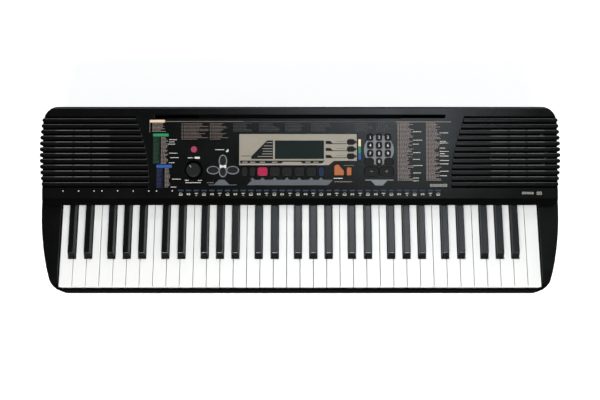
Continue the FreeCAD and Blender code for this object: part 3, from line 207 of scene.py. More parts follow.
def worked(tree, way, *amounts):
    node = tree.nodes.new("ShaderNodeMath")
    node.operation = way
    for socket, amount in zip(node.inputs, amounts):
        if isinstance(amount, (int, float)):
            socket.default_value = amount
        else:
            tree.links.new(amount, socket)
    return node.outputs[0]


def together(tree, way, first, *others):
    for other in others:
        first = worked(tree, way, first, other)
    return first


def facing_of(tree):
    facing = tree.nodes.new("ShaderNodeSeparateXYZ")
    tree.links.new(tree.nodes["Texture Coordinate"].outputs["Normal"], facing.inputs[0])
    return facing.outputs


def set_gloss(tree, amount):
    tree.links.new(amount, tree.nodes["Principled BSDF"].inputs["Specular IOR Level"])


WHOLE = (0.0, 1.0)
UPRIGHT = (0.3, 0.6)
RAIL_FRONT = (-0.4, -0.2)
RAIL_GLOSS = 0.05
WALL_GLOSS = 0.2
black_case = grained_finish(
    "black_case_plastic", (8, 9, 8), 0.65, 1100, 0.2, 0.35, gloss=WALL_GLOSS
)
tree = black_case.node_tree
facing = facing_of(tree)
wall = worked(
    tree, "MULTIPLY", rising(tree, facing["Y"], RAIL_FRONT), falling(tree, facing["Z"], UPRIGHT)
)
set_gloss(tree, ramped(tree, wall, WHOLE, RAIL_GLOSS, WALL_GLOSS))
dress(black_case, "lower_case", "battery_cover")
soften(0.6, 2, "lower_case", "battery_cover")


# Rubber feet, pushed into the tray, and the bright zinc-plated case screws
# that hold the two halves together from below. The battery contacts are plated
# the same way.
foot_rubber = grained_finish("grey_foot_rubber", (48, 48, 50), 0.75, 700, 0.5, 0.3)
screw_zinc = grained_finish("zinc_screw_steel", (176, 178, 182), 0.32, 500, 0.15, 0.3, metal=1.0)
dress(foot_rubber, "rubber_feet")
dress(screw_zinc, "case_screws", "battery_contacts")
soften(0.4, 2, "rubber_feet")


# Circuit boards: brown phenolic sheet with a green mask. They are screwed to
# posts under the panel, under the keys and behind the rear sockets. The switches,
# the volume control and the display are moulded parts mounted on them.
board_mask = grained_finish("green_board_mask", (38, 86, 54), 0.38, 260, 0.3, 0.9)
dress(board_mask, "main_board", "contact_board", "panel_board")
switch_black = grained_finish("switch_plastic", (40, 40, 44), 0.5)
dress(switch_black, "panel_switches", "volume_pot", "display_module")


# Key bed: a grey moulded chassis with a steel hinge rod, felt strips that stop
# the keys, and the rubber contact strips that the keys press.
chassis_grey = grained_finish("grey_chassis_plastic", (120, 122, 124), 0.5)
rod_steel = grained_finish("drawn_rod_steel", (170, 172, 176), 0.28, 400, 0.1, 0.3, metal=1.0)
felt_red = grained_finish("red_stop_felt", (120, 32, 34), 0.95, 1500, 1.0, 0.6)
contact_grey = grained_finish("contact_rubber", (150, 150, 152), 0.7, 800, 0.3, 0.3)
dress(chassis_grey, "key_chassis")
dress(rod_steel, "hinge_rod")
dress(felt_red, "stop_felts")
dress(contact_grey, "contact_rubbers")


# Speakers: pressed steel baskets with a magnet, and doped paper cones. They are
# screwed up against the slotted ends of the upper case.
basket_steel = grained_finish("speaker_steel", (96, 98, 102), 0.42, 500, 0.2, 0.3, metal=1.0)
cone_paper = grained_finish("cone_paper", (34, 33, 32), 0.85, 420, 0.8, 0.5)
dress(basket_steel, "speaker_frames")
dress(cone_paper, "speaker_cones")


# White keys: polished white plastic, moulded in combs that hang on the hinge
# rod. Their top edges are rounded over by the mould.
OCTAVES = range(1, 6)
white_names = ["keys_cegb_%d" % n for n in OCTAVES] + ["keys_dfa_%d" % n for n in OCTAVES]
white_names.append("key_high_c")
white_plastic = grained_finish("white_key_plastic", (240, 240, 238), 0.22, 900, 0.02, 0.04)
dress(white_plastic, *white_names)
soften(0.6, 3, *white_names)


# Black keys: narrow caps with sloped sides, moulded in black in combs of five
# and left glossy, so that the light runs down each one as a streak.
black_names = ["keys_black_%d" % n for n in OCTAVES]
black_plastic = grained_finish("black_key_plastic", (10, 10, 11), 0.24, 900, 0.05, 0.3)
KEY_TOP = (0.6, 0.9)
KEY_SIDE_GLOSS = 0.06
KEY_TOP_GLOSS = 0.5
tree = black_plastic.node_tree
set_gloss(tree, ramped(tree, facing_of(tree)["Z"], KEY_TOP, KEY_SIDE_GLOSS, KEY_TOP_GLOSS))
dress(black_plastic, *black_names)
soften(0.9, 3, *black_names)


# Rear sockets: black moulded jacks soldered to the main board, showing through
# square windows in the back of the case.
socket_black = grained_finish("socket_plastic", (16, 16, 18), 0.35)
dress(socket_black, "rear_sockets")


# Upper case: the panel with its ribbed, slotted ends, moulded in black in one
# piece with the cheeks beside the keys and screwed down onto the tray.
DECK_TILT = math.radians(9.5)
DECK_FRONT = 98.0


def measured(tree, direction, start):
    dot = tree.nodes.new("ShaderNodeVectorMath")
    dot.operation = "DOT_PRODUCT"
    dot.inputs[1].default_value = direction
    tree.links.new(tree.nodes["Texture Coordinate"].outputs["Object"], dot.inputs[0])
    return worked(tree, "DIVIDE", worked(tree, "SUBTRACT", dot.outputs["Value"], start * MM), MM)


def off(tree, source, middle):
    return worked(tree, "ABSOLUTE", worked(tree, "SUBTRACT", source, middle))


def between(tree, source, start, end):
    after = rising(tree, source, (start, start + 1))
    return worked(tree, "MULTIPLY", after, falling(tree, source, (end - 1, end)))


PANEL_GLOSS = 0.36
panel_black = grained_finish(
    "black_panel_plastic", (7, 8, 7), 0.25, 1100, 0.1, 0.35, gloss=PANEL_GLOSS
)
tree = panel_black.node_tree
facing = facing_of(tree)
lean, rise = math.sin(DECK_TILT), math.cos(DECK_TILT)
across = worked(tree, "ABSOLUTE", measured(tree, (1, 0, 0), 0))
back = measured(tree, (0, 1, 0), 0)
up_deck = measured(tree, (0, rise, lean), DECK_FRONT * lean)
proud = measured(tree, (0, -lean, rise), DECK_FRONT * rise)

RIB_FIRST = 25.2
RIB_LAST = 138.5
RIB_PITCH = 10.3
RIB_WIDTH = 7.6
RIB_INNER = 266.0
RIB_SWEEP = 23.0
RIB_FIELD = (18.0, 145.5)
FLAT_TOP = (0.6, 0.9)
REAR_PART = (0.42, 0.6)
FRONT_PART = (0.0, 0.2)
run = worked(tree, "DIVIDE", worked(tree, "SUBTRACT", up_deck, RIB_FIRST), RIB_LAST - RIB_FIRST)
inner = worked(tree, "MULTIPLY_ADD", worked(tree, "MULTIPLY", run, run), RIB_SWEEP, RIB_INNER)
beyond = worked(tree, "SUBTRACT", across, inner)
ribbed = together(
    tree,
    "MULTIPLY",
    rising(tree, beyond, (-0.5, 0.5)),
    between(tree, up_deck, *RIB_FIELD),
    rising(tree, facing["Z"], FLAT_TOP),
)
rib_start = RIB_FIRST - RIB_WIDTH / 2
step = worked(tree, "DIVIDE", worked(tree, "SUBTRACT", up_deck, rib_start), RIB_PITCH)
step = worked(tree, "FRACT", step)
rear_slope = worked(tree, "MULTIPLY", rising(tree, step, REAR_PART), ribbed)
front_slope = worked(tree, "MULTIPLY", falling(tree, step, FRONT_PART), ribbed)

SUNK_TOP = (-0.9, -0.5)
SUNK_FLOOR = (-4.0, -3.0)
LIP_FRONT = (-0.4, -0.25)
sunk = together(
    tree,
    "MULTIPLY",
    falling(tree, proud, SUNK_TOP),
    rising(tree, proud, SUNK_FLOOR),
    rising(tree, back, (-1.0, 1.0)),
)
lip = falling(tree, facing["Y"], LIP_FRONT)

RIB_END = (1.2, 1.6)
RIB_END_FIELD = (16.0, 147.0)
SIDEWAYS = (0.12, 0.3)
rib_ends = together(
    tree,
    "MULTIPLY",
    falling(tree, worked(tree, "ABSOLUTE", beyond), RIB_END),
    rising(tree, worked(tree, "ABSOLUTE", facing["X"]), SIDEWAYS),
    between(tree, up_deck, *RIB_END_FIELD),
)
matt = together(tree, "MAXIMUM", sunk, lip, rib_ends, front_slope)

GRILLE_X = 384.5
GRILLE_HALF = (46.0, 49.0)
GRILLE_D = 78.0
GRILLE_REACH = (44.0, 52.0)
GRILLE_BAR = 15.5
BAR_HALF = (1.4, 2.6)
off_middle = off(tree, across, GRILLE_X)
grille = together(
    tree,
    "MULTIPLY",
    falling(tree, off_middle, GRILLE_HALF),
    rising(tree, off(tree, off_middle, GRILLE_BAR), BAR_HALF),
    falling(tree, off(tree, up_deck, GRILLE_D), GRILLE_REACH),
)
LIT_GAIN = 1.2
LIT_LOSS = -0.3
lit_edge = worked(
    tree, "MULTIPLY", rear_slope, worked(tree, "MULTIPLY_ADD", grille, LIT_GAIN, LIT_LOSS)
)
wall = ramped(tree, facing["Z"], UPRIGHT, WALL_GLOSS, PANEL_GLOSS)
gloss = worked(tree, "MULTIPLY", wall, falling(tree, matt, WHOLE))
set_gloss(tree, worked(tree, "MULTIPLY_ADD", gloss, lit_edge, gloss))

REAR_LEAN = 0.55
turned_back = tree.nodes.new("ShaderNodeCombineXYZ")
tree.links.new(worked(tree, "MULTIPLY", rear_slope, REAR_LEAN), turned_back.inputs["Y"])
leaned = tree.nodes.new("ShaderNodeVectorMath")
leaned.operation = "ADD"
tree.links.new(tree.nodes["Group"].outputs["Normal"], leaned.inputs[0])
tree.links.new(turned_back.outputs[0], leaned.inputs[1])
even = tree.nodes.new("ShaderNodeVectorMath")
even.operation = "NORMALIZE"
tree.links.new(leaned.outputs[0], even.inputs[0])
tree.links.new(even.outputs[0], tree.nodes["Principled BSDF"].inputs["Normal"])
dress(panel_black, "upper_case")
soften(0.7, 3, "upper_case")


# Display window: an acrylic plate printed champagne silver on its back, stuck
# into a shallow recess over the display.
champagne = grained_finish("champagne_print", (149, 142, 129), 0.34, 300, 0.03, 0.2)
dress(champagne, "display_window")
soften(0.4, 2, "display_window")
INK = 0.12
CUT_DEPTH = 40 * INK


def bare_start():
    bpy.ops.object.select_all(action="DESELECT")


def flat_patch(x_span, d_span, corner=0.0, trims=()):
    bare_start()
    middle = (sum(x_span) / 2 * MM, sum(d_span) / 2 * MM, 0)
    bpy.ops.mesh.primitive_plane_add(size=1, location=middle)
    patch = bpy.context.object
    patch.scale = ((x_span[1] - x_span[0]) * MM, (d_span[1] - d_span[0]) * MM, 1)
    bpy.ops.object.transform_apply(location=True, rotation=True, scale=True)
    bpy.ops.object.mode_set(mode="EDIT")
    for x, d, toward_x, toward_d in trims:
        bpy.ops.mesh.select_all(action="SELECT")
        bpy.ops.mesh.bisect(
            plane_co=(x * MM, d * MM, 0), plane_no=(toward_x, toward_d, 0), clear_outer=True
        )
    if corner:
        bpy.ops.mesh.select_all(action="SELECT")
        bpy.ops.mesh.bevel(offset=corner * MM, segments=3, affect="VERTICES")
    bpy.ops.object.mode_set(mode="OBJECT")
    return patch


def flat_disc(x, d, across, along, sides):
    bare_start()
    bpy.ops.mesh.primitive_circle_add(
        vertices=sides, radius=1, fill_type="NGON", location=(x * MM, d * MM, 0)
    )
    patch = bpy.context.object
    patch.scale = (across * MM, along * MM, 1)
    bpy.ops.object.transform_apply(location=True, rotation=True, scale=True)
    return patch


def outline(patch, width):
    bare_start()
    patch.select_set(True)
    bpy.context.view_layer.objects.active = patch
    bpy.ops.object.mode_set(mode="EDIT")
    bpy.ops.mesh.select_all(action="SELECT")
    bpy.ops.mesh.inset(thickness=width * MM)
    bpy.ops.mesh.delete(type="FACE")
    bpy.ops.object.mode_set(mode="OBJECT")
    return patch


def repeat(master, places):
    copies = []
    for x, d, wide, tall in places:
        one = master.copy()
        one.data = master.data.copy()
        one.location = (x * MM, d * MM, 0)
        one.scale = (wide, tall, 1)
        bpy.context.collection.objects.link(one)
        copies.append(one)
    return copies


def joined(name, patches):
    bare_start()
    for patch in patches:
        patch.select_set(True)
    bpy.context.view_layer.objects.active = patches[0]
    bpy.ops.object.transform_apply(location=True, rotation=True, scale=True)
    if len(patches) > 1:
        bpy.ops.object.join()
    piece = bpy.context.object
    piece.name = name
    piece.data.name = name
    return piece


def thicken(piece, thick, side):
    layer = piece.modifiers.new("layer", "SOLIDIFY")
    layer.thickness = thick * MM
    layer.offset = side
    bpy.ops.object.modifier_apply(modifier="layer")


def print_on_deck(
    name, patches, finish, body="case", lift=0.0, thick=INK, holes=()
):
    if holes:
        cutter = joined("print_holes", holes)
        thicken(cutter, CUT_DEPTH, 0)
    piece = joined(name, patches)
    thicken(piece, thick, 1)
    if holes:
        pierce = piece.modifiers.new("pierce", "BOOLEAN")
        pierce.object = cutter
        pierce.operation = "DIFFERENCE"
        bpy.ops.object.modifier_apply(modifier="pierce")
        bpy.data.objects.remove(cutter)
    piece.data.materials.clear()
    piece.data.materials.append(finish)
    rise = lift * math.cos(DECK_TILT) + DECK_FRONT
    piece.rotation_euler = (DECK_TILT, 0, 0)
    piece.location = (0, -lift * math.sin(DECK_TILT) * MM, rise * MM)
    bpy.ops.object.transform_apply(location=True, rotation=True, scale=True)
    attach(piece, body)


WINDOW_FACE = 0.5
window_black = grained_finish("window_black_ink", (16, 16, 17), 0.35, 700, 0.02, 0.2, gloss=0.25)
window_grey = grained_finish("window_grey_ink", (120, 118, 110), 0.45, 700, 0.02, 0.2)
label_ink = grained_finish("label_ink", (168, 166, 158), 0.45, 700, 0.05, 0.1)
white_ink = grained_finish("white_ink", (214, 212, 204), 0.45, 700, 0.05, 0.1)
screen_glass = grained_finish("display_glass", (23, 32, 31), 0.3, 60, 0.02, 0.5, gloss=0.12)


def print_on_window(name, patches, finish, lift=WINDOW_FACE):
    print_on_deck(name, patches, finish, lift=lift)


field_slant = (-74, 86.4, -31.5, 19.3)
SELECT_ROWS = (99.4, 87, 74.4)
SCREEN_D = (69.6, 102.4)
STRIP_D = (61.8, 66.8)
LABEL_END = -48.8
label_rows = [(98.6, 10.2), (92.9, 14.8), (87.9, 17.5), (83.2, 16.6), (78.6, 18), (74, 26)]
strip_labels = (-97.2, -83.5, -66.3, -44.6, 14, 28)
print_on_window("display_screen", [flat_patch((-44.4, 42.4), SCREEN_D, 0.6)], screen_glass)
black_prints = [
    flat_patch((-86, -47.7), SCREEN_D, trims=[field_slant]),
    flat_patch((-105.6, 44), STRIP_D, trims=[(41, 64, 5, -5)]),
    flat_patch((-104, -87), (74.4, 75.4)),
]
for row_d in SELECT_ROWS:
    slant = [(55.6, row_d, 5, 4)]
    black_prints.append(flat_patch((45.4, 58), (row_d - 3.2, row_d + 2.2), trims=slant))
    black_prints.append(flat_patch((45.4, 83), (row_d - 3.2, row_d - 2.2)))
    tip = [(99, row_d + 1.6, 2, 3), (99, row_d - 1.6, 2, -3)]
    black_prints.append(flat_patch((97.4, 100.2), (row_d - 2.6, row_d + 2.6), trims=tip))
print_on_window("window_black_print", black_prints, window_black)
small_bars = [
    flat_patch((LABEL_END - run, LABEL_END), (d - 0.4, d + 0.4), 0.1) for d, run in label_rows
]
small_bars += [flat_patch((x - 4.6, x + 4.6), (63.4, 64.6), 0.2) for x in strip_labels]
print_on_window("window_labels", small_bars, label_ink, WINDOW_FACE + INK)
grey_bars = [flat_patch((64, 79.5), (d + 0.6, d + 1.8), 0.2) for d in SELECT_ROWS]
print_on_window("window_grey_print", grey_bars, window_grey)
tab = flat_patch((-33.6, 5.3), (61.8, 64.6), trims=[(-31.5, 63, -4, 4), (3.2, 63, 4, 4)])
print_on_window("window_tab", [tab], champagne, WINDOW_FACE + INK)


# Panel buttons: dark grey caps with soft rubber-like grain, moulded singly, each
# on a stem over its own switch. One is crimson, one navy, two are orange, and the
# power button is red.
def button_finish(name, colour, cloud=0.15):
    return grained_finish(name, colour, 0.45, 1200, 0.2, cloud, gloss=0.3)


button_dark = grained_finish("dark_button_plastic", (13, 13, 13), 0.55, 1200, 0.2, 0.3, gloss=0.25)
button_crimson = button_finish("crimson_button_plastic", (156, 32, 69))
button_navy = button_finish("navy_button_plastic", (16, 34, 58), 0.2)
button_orange = button_finish("orange_button_plastic", (166, 98, 60))
button_red = button_finish("red_button_plastic", (152, 60, 80))
dark_buttons = ["function_button_%d" % n for n in (1, 2, 4, 5, 6, 7)]
dark_buttons += ["select_button_%d" % n for n in (1, 2, 3)]
dark_buttons += ["keypad_row_%d" % n for n in (1, 2, 3, 4)]
dark_buttons += ["keypad_bars", "cursor_left", "cursor_right", "cursor_up", "cursor_down"]
dress(button_dark, *dark_buttons)
dress(button_crimson, "function_button_3")
dress(button_navy, "function_button_8")
dress(button_orange, "grand_piano_button", "metronome_button")
dress(button_red, "power_button")
bright_buttons = ["function_button_3", "function_button_8"]
bright_buttons += ["grand_piano_button", "metronome_button", "power_button"]
soften(0.5, 3, *dark_buttons, *bright_buttons)


# Keypad numbers: white ink, pad-printed on the tops of the caps, with a plain
# minus and plus on the two wide bars.
CAP_FACE = 2.0
PAD_X = 139.6
PAD_PITCH = 15.6
ROW_D = {1: 107.9, 2: 93.6, 3: 79.3, 4: 65.0}
DIGIT_TALL = 7.4
DIGIT_SPREAD = 0.12


def printed_number(text, x, d, tall):
    bare_start()
    bpy.ops.object.text_add(location=(x * MM, d * MM, 0))
    digit = bpy.context.object
    digit.data.body = text
    digit.data.size = tall * MM
    digit.data.align_x = "CENTER"
    digit.data.align_y = "CENTER"
    digit.data.offset = DIGIT_SPREAD * MM
    bpy.ops.object.convert(target="MESH")
    return digit


for row, text in {1: "123", 2: "456", 3: "789", 4: " 0 "}.items():
    digits = []
    for column, mark in zip((-1, 0, 1), text):
        if mark != " ":
            x = PAD_X + column * PAD_PITCH
            digits.append(printed_number(mark, x, ROW_D[row], DIGIT_TALL))
    print_on_deck(
        "keypad_numbers_%d" % row, digits, white_ink, "keypad_row_%d" % row, CAP_FACE
    )
BAR_X = (PAD_X - 13.3, PAD_X + 13.3)
BAR_D = 47.7
signs = [flat_patch((x - 2.4, x + 2.4), (BAR_D - 0.5, BAR_D + 0.5)) for x in BAR_X]
signs.append(flat_patch((BAR_X[1] - 0.5, BAR_X[1] + 0.5), (BAR_D - 2.4, BAR_D + 2.4)))
print_on_deck("keypad_signs", signs, window_grey, "keypad_bars", CAP_FACE)


# Volume knob: a black cap with a knurled skirt, pushed onto the control's
# shaft, with a white pointer line let into its top.
dress(button_dark, "volume_knob")
soften(0.6, 3, "volume_knob")
KNOB_AT = (-187.5, 49.8)
KNOB_FACE = 9.7
POINTER_TURN = math.radians(128)
pointer = flat_patch((5.6, 10.4), (-0.6, 0.6), 0.25)
pointer.rotation_euler = (0, 0, POINTER_TURN)
pointer.location = (KNOB_AT[0] * MM, KNOB_AT[1] * MM, 0)
print_on_deck("knob_pointer", [pointer], label_ink, "volume_knob", KNOB_FACE, 0.5)


# Panel printing: screened straight onto the black panel in white, cream, grey, green and blue.
# Words are left as plain bars, and drums as simple marks.
# The near-black ring round the power button is not print but painted shade, standing in for the
# shadow in the pit around the button.
def panel_ink(name, colour, shine=0.45):
    return grained_finish(name, colour, shine, 700, 0.05, 0.1)


def deep_ink(name, colour):
    return grained_finish(name, colour, 0.5, 700, 0.05, 0.1, gloss=0.15)


cream_ink = panel_ink("cream_ink", (226, 202, 170))
green_ink = panel_ink("green_ink", (32, 132, 86))
dark_green_ink = deep_ink("dark_green_ink", (10, 38, 26))
blue_ink = panel_ink("blue_ink", (36, 78, 146))
dark_blue_ink = deep_ink("dark_blue_ink", (8, 16, 46))
list_ink = panel_ink("list_ink", (148, 134, 129))
silver_ink = panel_ink("silver_ink", (114, 119, 123), 0.4)
grey_ink = panel_ink("grey_ink", (84, 88, 92))
dull_ink = panel_ink("dull_ink", (118, 106, 98))
faint_ink = panel_ink("faint_ink", (66, 68, 68))
slate_ink = panel_ink("slate_ink", (28, 40, 58))
# Near-black for the ring round the power button: painted shade for the pit around the button, not
# ink.
painted_pit_shade = grained_finish("painted_pit_shade", (6, 6, 6), 0.7, 700, 0.1, 0.3, gloss=0.1)
chance = random.Random(61)
NUMBER_GAP = 1.0
WORD_RUN = (1.8, 5.0)
WORD_LEAST = 0.6
WORD_GAP = 0.7


def word_bars(x, d_span, pitch, tall, number, words):
    places = []
    d = d_span[1] - pitch / 2
    while d > d_span[0]:
        at = x
        if number:
            places.append((at + number / 2, d, number, tall))
            at += number + NUMBER_GAP
        reach = x + chance.uniform(*words)
        while at < reach:
            run = min(chance.uniform(*WORD_RUN), reach - at)
            if run > WORD_LEAST:
                places.append((at + run / 2, d, run, tall))
            at += run + WORD_GAP
        d -= pitch
    return places


def heading(x, top, words, tall=1.0):
    return word_bars(x, (top - 2, top), 2, tall, 0, words)


word_master = flat_patch((-0.5, 0.5), (-0.5, 0.5))
LINE = 2.3
VOICE_D = (31, 134.5)
STYLE_LINE = 2.5
STYLE_D = (104.5, 133.6)
list_places = word_bars(-261, (117, 133.6), LINE, 0.9, 0, (14, 24))
list_places += word_bars(-245.6, (61, 109), LINE, 0.9, 0, (7, 13))
list_places += word_bars(-238.5, (18, 53.5), LINE, 0.9, 0, (6, 10))
list_places += word_bars(172.2, VOICE_D, LINE, 0.95, 3.4, (17, 29))
list_places += word_bars(222.9, VOICE_D, LINE, 0.95, 3.4, (14, 27))
print_on_deck("voice_lists", repeat(word_master, list_places), list_ink)
dull_places = word_bars(-209.6, STYLE_D, STYLE_LINE, 0.8, 3, (26, 48))
dull_places += word_bars(-159.4, STYLE_D, STYLE_LINE, 0.8, 3, (18, 34))
print_on_deck("style_lists", repeat(word_master, dull_places), dull_ink, lift=INK)
left_headings = [
    (-231, 105), (-231, 101), (-233, 97), (-231, 81), (-229, 73), (-231, 64), (-226, 35), (-228, 21)
]
head_places = []
for x, d in left_headings:
    head_places += heading(x, d, (9, 16))
for d in (119, 104, 97, 82, 70, 59, 46, 37, 32):
    head_places += heading(200, d, (9, 17))
for d in (117, 102, 99, 90, 84, 80, 76, 68, 62, 49, 41):
    head_places += heading(247, d, (9, 17))
head_places += heading(59.5, 36.4, (16, 17), 1.4)
head_places += heading(-198, 72.8, (9, 10), 1.3)
head_places += heading(-203, 32.8, (6, 7), 1.2)
head_places += heading(-180, 32.8, (6, 7), 1.2)
head_places += heading(-202, 28.8, (27, 28), 1.2)
print_on_deck("list_headings", repeat(word_master, head_places), white_ink)
faint_places = word_bars(-258.6, (62, 108), LINE, 0.5, 0, (6, 10))
faint_places += word_bars(-252.4, (19, 53), LINE, 0.5, 0, (6, 9))
for x, run in ((-118, 38), (-72, 38), (-26, 34), (20, 40), (97, 34), (134, 30)):
    faint_places += word_bars(x, (117, 133.6), 2.6, 0.9, 2.4, (run * 0.6, run))
print_on_deck("faint_lists", repeat(word_master, faint_places), faint_ink, lift=INK)
dim_places = word_bars(61, (28, 31), 3, 1.8, 0, (30, 31))
dim_places += heading(77, 59, (19, 20))
dim_places += heading(-164, 28.6, (11, 12))
print_on_deck("dim_words", repeat(word_master, dim_places), dull_ink)
bare_start()
word_master.select_set(True)
bpy.ops.object.delete()
TAG_X = (103.2, 107.6)
TAG_ROUND = 0.5
TAB_ROUND = 1.6
print_on_deck(
    "cream_lines",
    [
        flat_patch((-266, -238.5), (134.4, 139.2), TAB_ROUND),
        flat_patch(TAG_X, (92.2, 104.6), TAG_ROUND),
    ],
    cream_ink,
)
print_on_deck(
    "dull_lines",
    [
        flat_patch((-240, -100), (135.6, 136.8)),
        flat_patch((170, 267), (134.8, 136.4)),
        flat_patch((-266, -265), (117, 135)),
    ],
    dull_ink,
)
print_on_deck("faint_line", [flat_patch((-100, 170), (135.2, 136.4))], faint_ink)
print_on_deck(
    "green_tabs",
    [
        flat_patch((-259.8, -232), (109.6, 114.8), TAB_ROUND),
        flat_patch(TAG_X, (80.4, 92.0), TAG_ROUND),
    ],
    green_ink,
)
print_on_deck("green_column", [flat_patch((-259.8, -248), (61, 109.4))], dark_green_ink)
print_on_deck(
    "blue_tabs",
    [
        flat_patch((-253.6, -226), (54, 59.4), TAB_ROUND),
        flat_patch(TAG_X, (68.6, 80.2), TAG_ROUND),
    ],
    blue_ink,
)
PAIR = 13.75
DRUM_FIRST = -210.2
DRUM_D = 7.4
LABEL_D = (12.6, 15.4)
drum_x = [DRUM_FIRST + PAIR * n for n in range(34)]
print_on_deck("blue_column", [flat_patch((-253.6, -242), (18, 53.8))], dark_blue_ink)
drum_labels = [flat_patch((x - 4.8, x + 4.8), LABEL_D, 0.4) for x in drum_x]
print_on_deck("drum_labels", drum_labels, slate_ink)
arrow_places = [-84.0, -66.3, -44.6, -22.9, -1.6, 19.8, 36.9]
BAND_TOP = 32.8
ARROW_TOP = 37
band_slants = [(-89, 28, -9.5, 8.7), (53.7, 28, 9.5, -5.3)]
band = [flat_patch((-94, 58), (23.3, BAND_TOP), trims=band_slants)]
for x in arrow_places:
    slopes = [(x, ARROW_TOP, -4, 5), (x, ARROW_TOP, 4, 5)]
    band.append(flat_patch((x - 5, x + 5), (BAND_TOP, ARROW_TOP), trims=slopes))
band.append(flat_patch((-154, -124), (24.4, 33), trims=[(-148, 28, -8, 6), (-128, 28, 8, 6)]))
band.append(flat_patch((-161, -111.5), (23.2, 24.4)))
print_on_deck("grey_band", band, grey_ink)
print_on_deck(
    "keypad_tab",
    [
        flat_patch((114.6, 164.9), (31.4, 33.2)),
        flat_patch((126, 153), (22.8, 31.4), trims=[(129, 27, -8, -5), (150, 27, 8, -5)]),
    ],
    silver_ink,
)
pad_holes = [
    flat_patch((x - 5.7, x + 5.7), (d - 6.1, d + 6.1), 3.4)
    for d in ROW_D.values()
    for x in (PAD_X - PAD_PITCH, PAD_X, PAD_X + PAD_PITCH)
]
oval_x = (PAD_X - 17.2, PAD_X + 17.2)
pad_holes += [flat_patch((x - 8.6, x + 8.6), (58.6, 71.4), 5.6) for x in oval_x]
print_on_deck("keypad_plate", [flat_disc(139.4, 85.6, 26.4, 26.6, 48)], silver_ink, holes=pad_holes)
CURSOR_X = -136
PETALS = (
    (CURSOR_X - 17.2, 49.8, 11.4, 7.4),
    (CURSOR_X + 17.2, 49.8, 11.4, 7.4),
    (CURSOR_X, 66.3, 7.4, 11.0),
    (CURSOR_X, 47, 7.2, 9.6),
)
RING_WIDTH = 1.8
rings = [outline(flat_disc(*petal, 40), RING_WIDTH) for petal in PETALS]
print_on_deck("cursor_outline", rings, silver_ink)
# Painted shade: this flat near-black ring on the deck stands in for the shadow in the pit round the
# power button.
print_on_deck("painted_pit_shade_ring", [outline(flat_disc(-186.7, 86.7, 10.0, 10.0, 40), 4.0)], painted_pit_shade)
DOT_FIRST = -417.8
DOT_D = 13.1
DOT_RADIUS = 1.05
dot_places = (0, 2, 4, 5, 7, 9, 11, 12, 14)
dots = [flat_disc(DOT_FIRST + PAIR * n, DOT_D, DOT_RADIUS, DOT_RADIUS, 12) for n in dot_places]
BOW_D = (53.7, 59.1)
marks = dots + [
    flat_patch(
        (CURSOR_X - 5.8, CURSOR_X + 0.1),
        BOW_D,
        trims=[(CURSOR_X, 57.4, 1, 2.6), (CURSOR_X, 55.4, 1, -2.6)],
    ),
    flat_patch(
        (CURSOR_X - 0.1, CURSOR_X + 5.8),
        BOW_D,
        trims=[(CURSOR_X, 57.4, -1, 2.6), (CURSOR_X, 55.4, -1, -2.6)],
    ),
    flat_patch((-186, -177), (70.2, 73.6), 0.6),
    flat_patch((-150, -134), (85.6, 86.6), 0.3),
    flat_patch((-131, -126.6), (82.0, 89.6), 1.0, trims=[(-128.5, 86, -5, 3)]),
]
print_on_deck("white_marks", marks, white_ink, lift=INK)


def block_row(x, pitch, wide, d_span, corner, count):
    starts = [x + pitch * n for n in range(count)]
    return [flat_patch((start, start + wide), d_span, corner) for start in starts]


blocks = block_row(229.4, 4.4, 3.4, (20.6, 25.4), 1.0, 7)
blocks += block_row(391.4, 4.2, 3.2, (7.4, 11.4), 1.0, 5)
blocks += block_row(417.4, 4.8, 3.8, (6.4, 11.8), 1.2, 2)
print_on_deck("plain_blocks", [outline(block, 0.9) for block in blocks], label_ink, lift=INK)
drum_parts = [outline(flat_disc(0, 0.6, 3.4, 1.9, 12), 0.7)]
drum_parts.append(flat_patch((-3.2, 3.2), (-2.6, -0.8), 0.8))
drum = joined("drum", drum_parts)
cymbal_parts = [flat_disc(0, 1.6, 3.6, 0.8, 12), flat_patch((-0.35, 0.35), (-2.6, 1.2))]
cymbal_parts.append(flat_patch((-1.8, 1.8), (-2.8, -2.2)))
cymbal = joined("cymbal", cymbal_parts)
pair_parts = [flat_disc(x, 0, 1.5, 1.9, 10) for x in (-1.8, 1.8)]
pair_parts.append(flat_patch((-2, 2), (-0.3, 0.5)))
pair = joined("pair", pair_parts)
drum_masters = (drum, pair, cymbal)
drums = []
for start, master in enumerate(drum_masters):
    drums += repeat(master, [(x, DRUM_D, 1, 1) for x in drum_x[start::3]])
bare_start()
for master in drum_masters:
    master.select_set(True)
bpy.ops.object.delete()
print_on_deck("drum_marks", drums, label_ink)


# Floor, light and camera: a pale round sweep, soft boxes overhead, in front and at
# both sides, and a strip behind, seen from above the front edge as in the photograph.
SWEEP_RADIUS = 7.0
SWEEP_HEIGHT = 5.0
SWEEP_CURVE = 1.5
SWEEP_SMOOTH = math.radians(40)
FLOOR_PALE = (0.85, 0.85, 0.85, 1)
WHITE = (1, 1, 1, 1)
NEAR_AND_FAR = (1.0, 3.0)
NEAR_GLOW = 0.65
SKY_LIGHT = 0.03
bare_start()
bpy.ops.mesh.primitive_cylinder_add(
    vertices=64, radius=SWEEP_RADIUS, depth=SWEEP_HEIGHT, location=(0, 0, SWEEP_HEIGHT / 2)
)
sweep = bpy.context.object
sweep.name = "floor_sweep"
bpy.ops.object.transform_apply(location=True, rotation=True, scale=True)
bpy.ops.object.mode_set(mode="EDIT")
bpy.ops.mesh.select_all(action="DESELECT")
bpy.ops.object.mode_set(mode="OBJECT")
for side in sweep.data.polygons:
    side.select = side.normal.z > 0.5
bpy.ops.object.mode_set(mode="EDIT")
bpy.ops.mesh.select_mode(type="FACE")
bpy.ops.mesh.delete(type="FACE")
bpy.ops.mesh.select_all(action="SELECT")
bpy.ops.mesh.flip_normals()
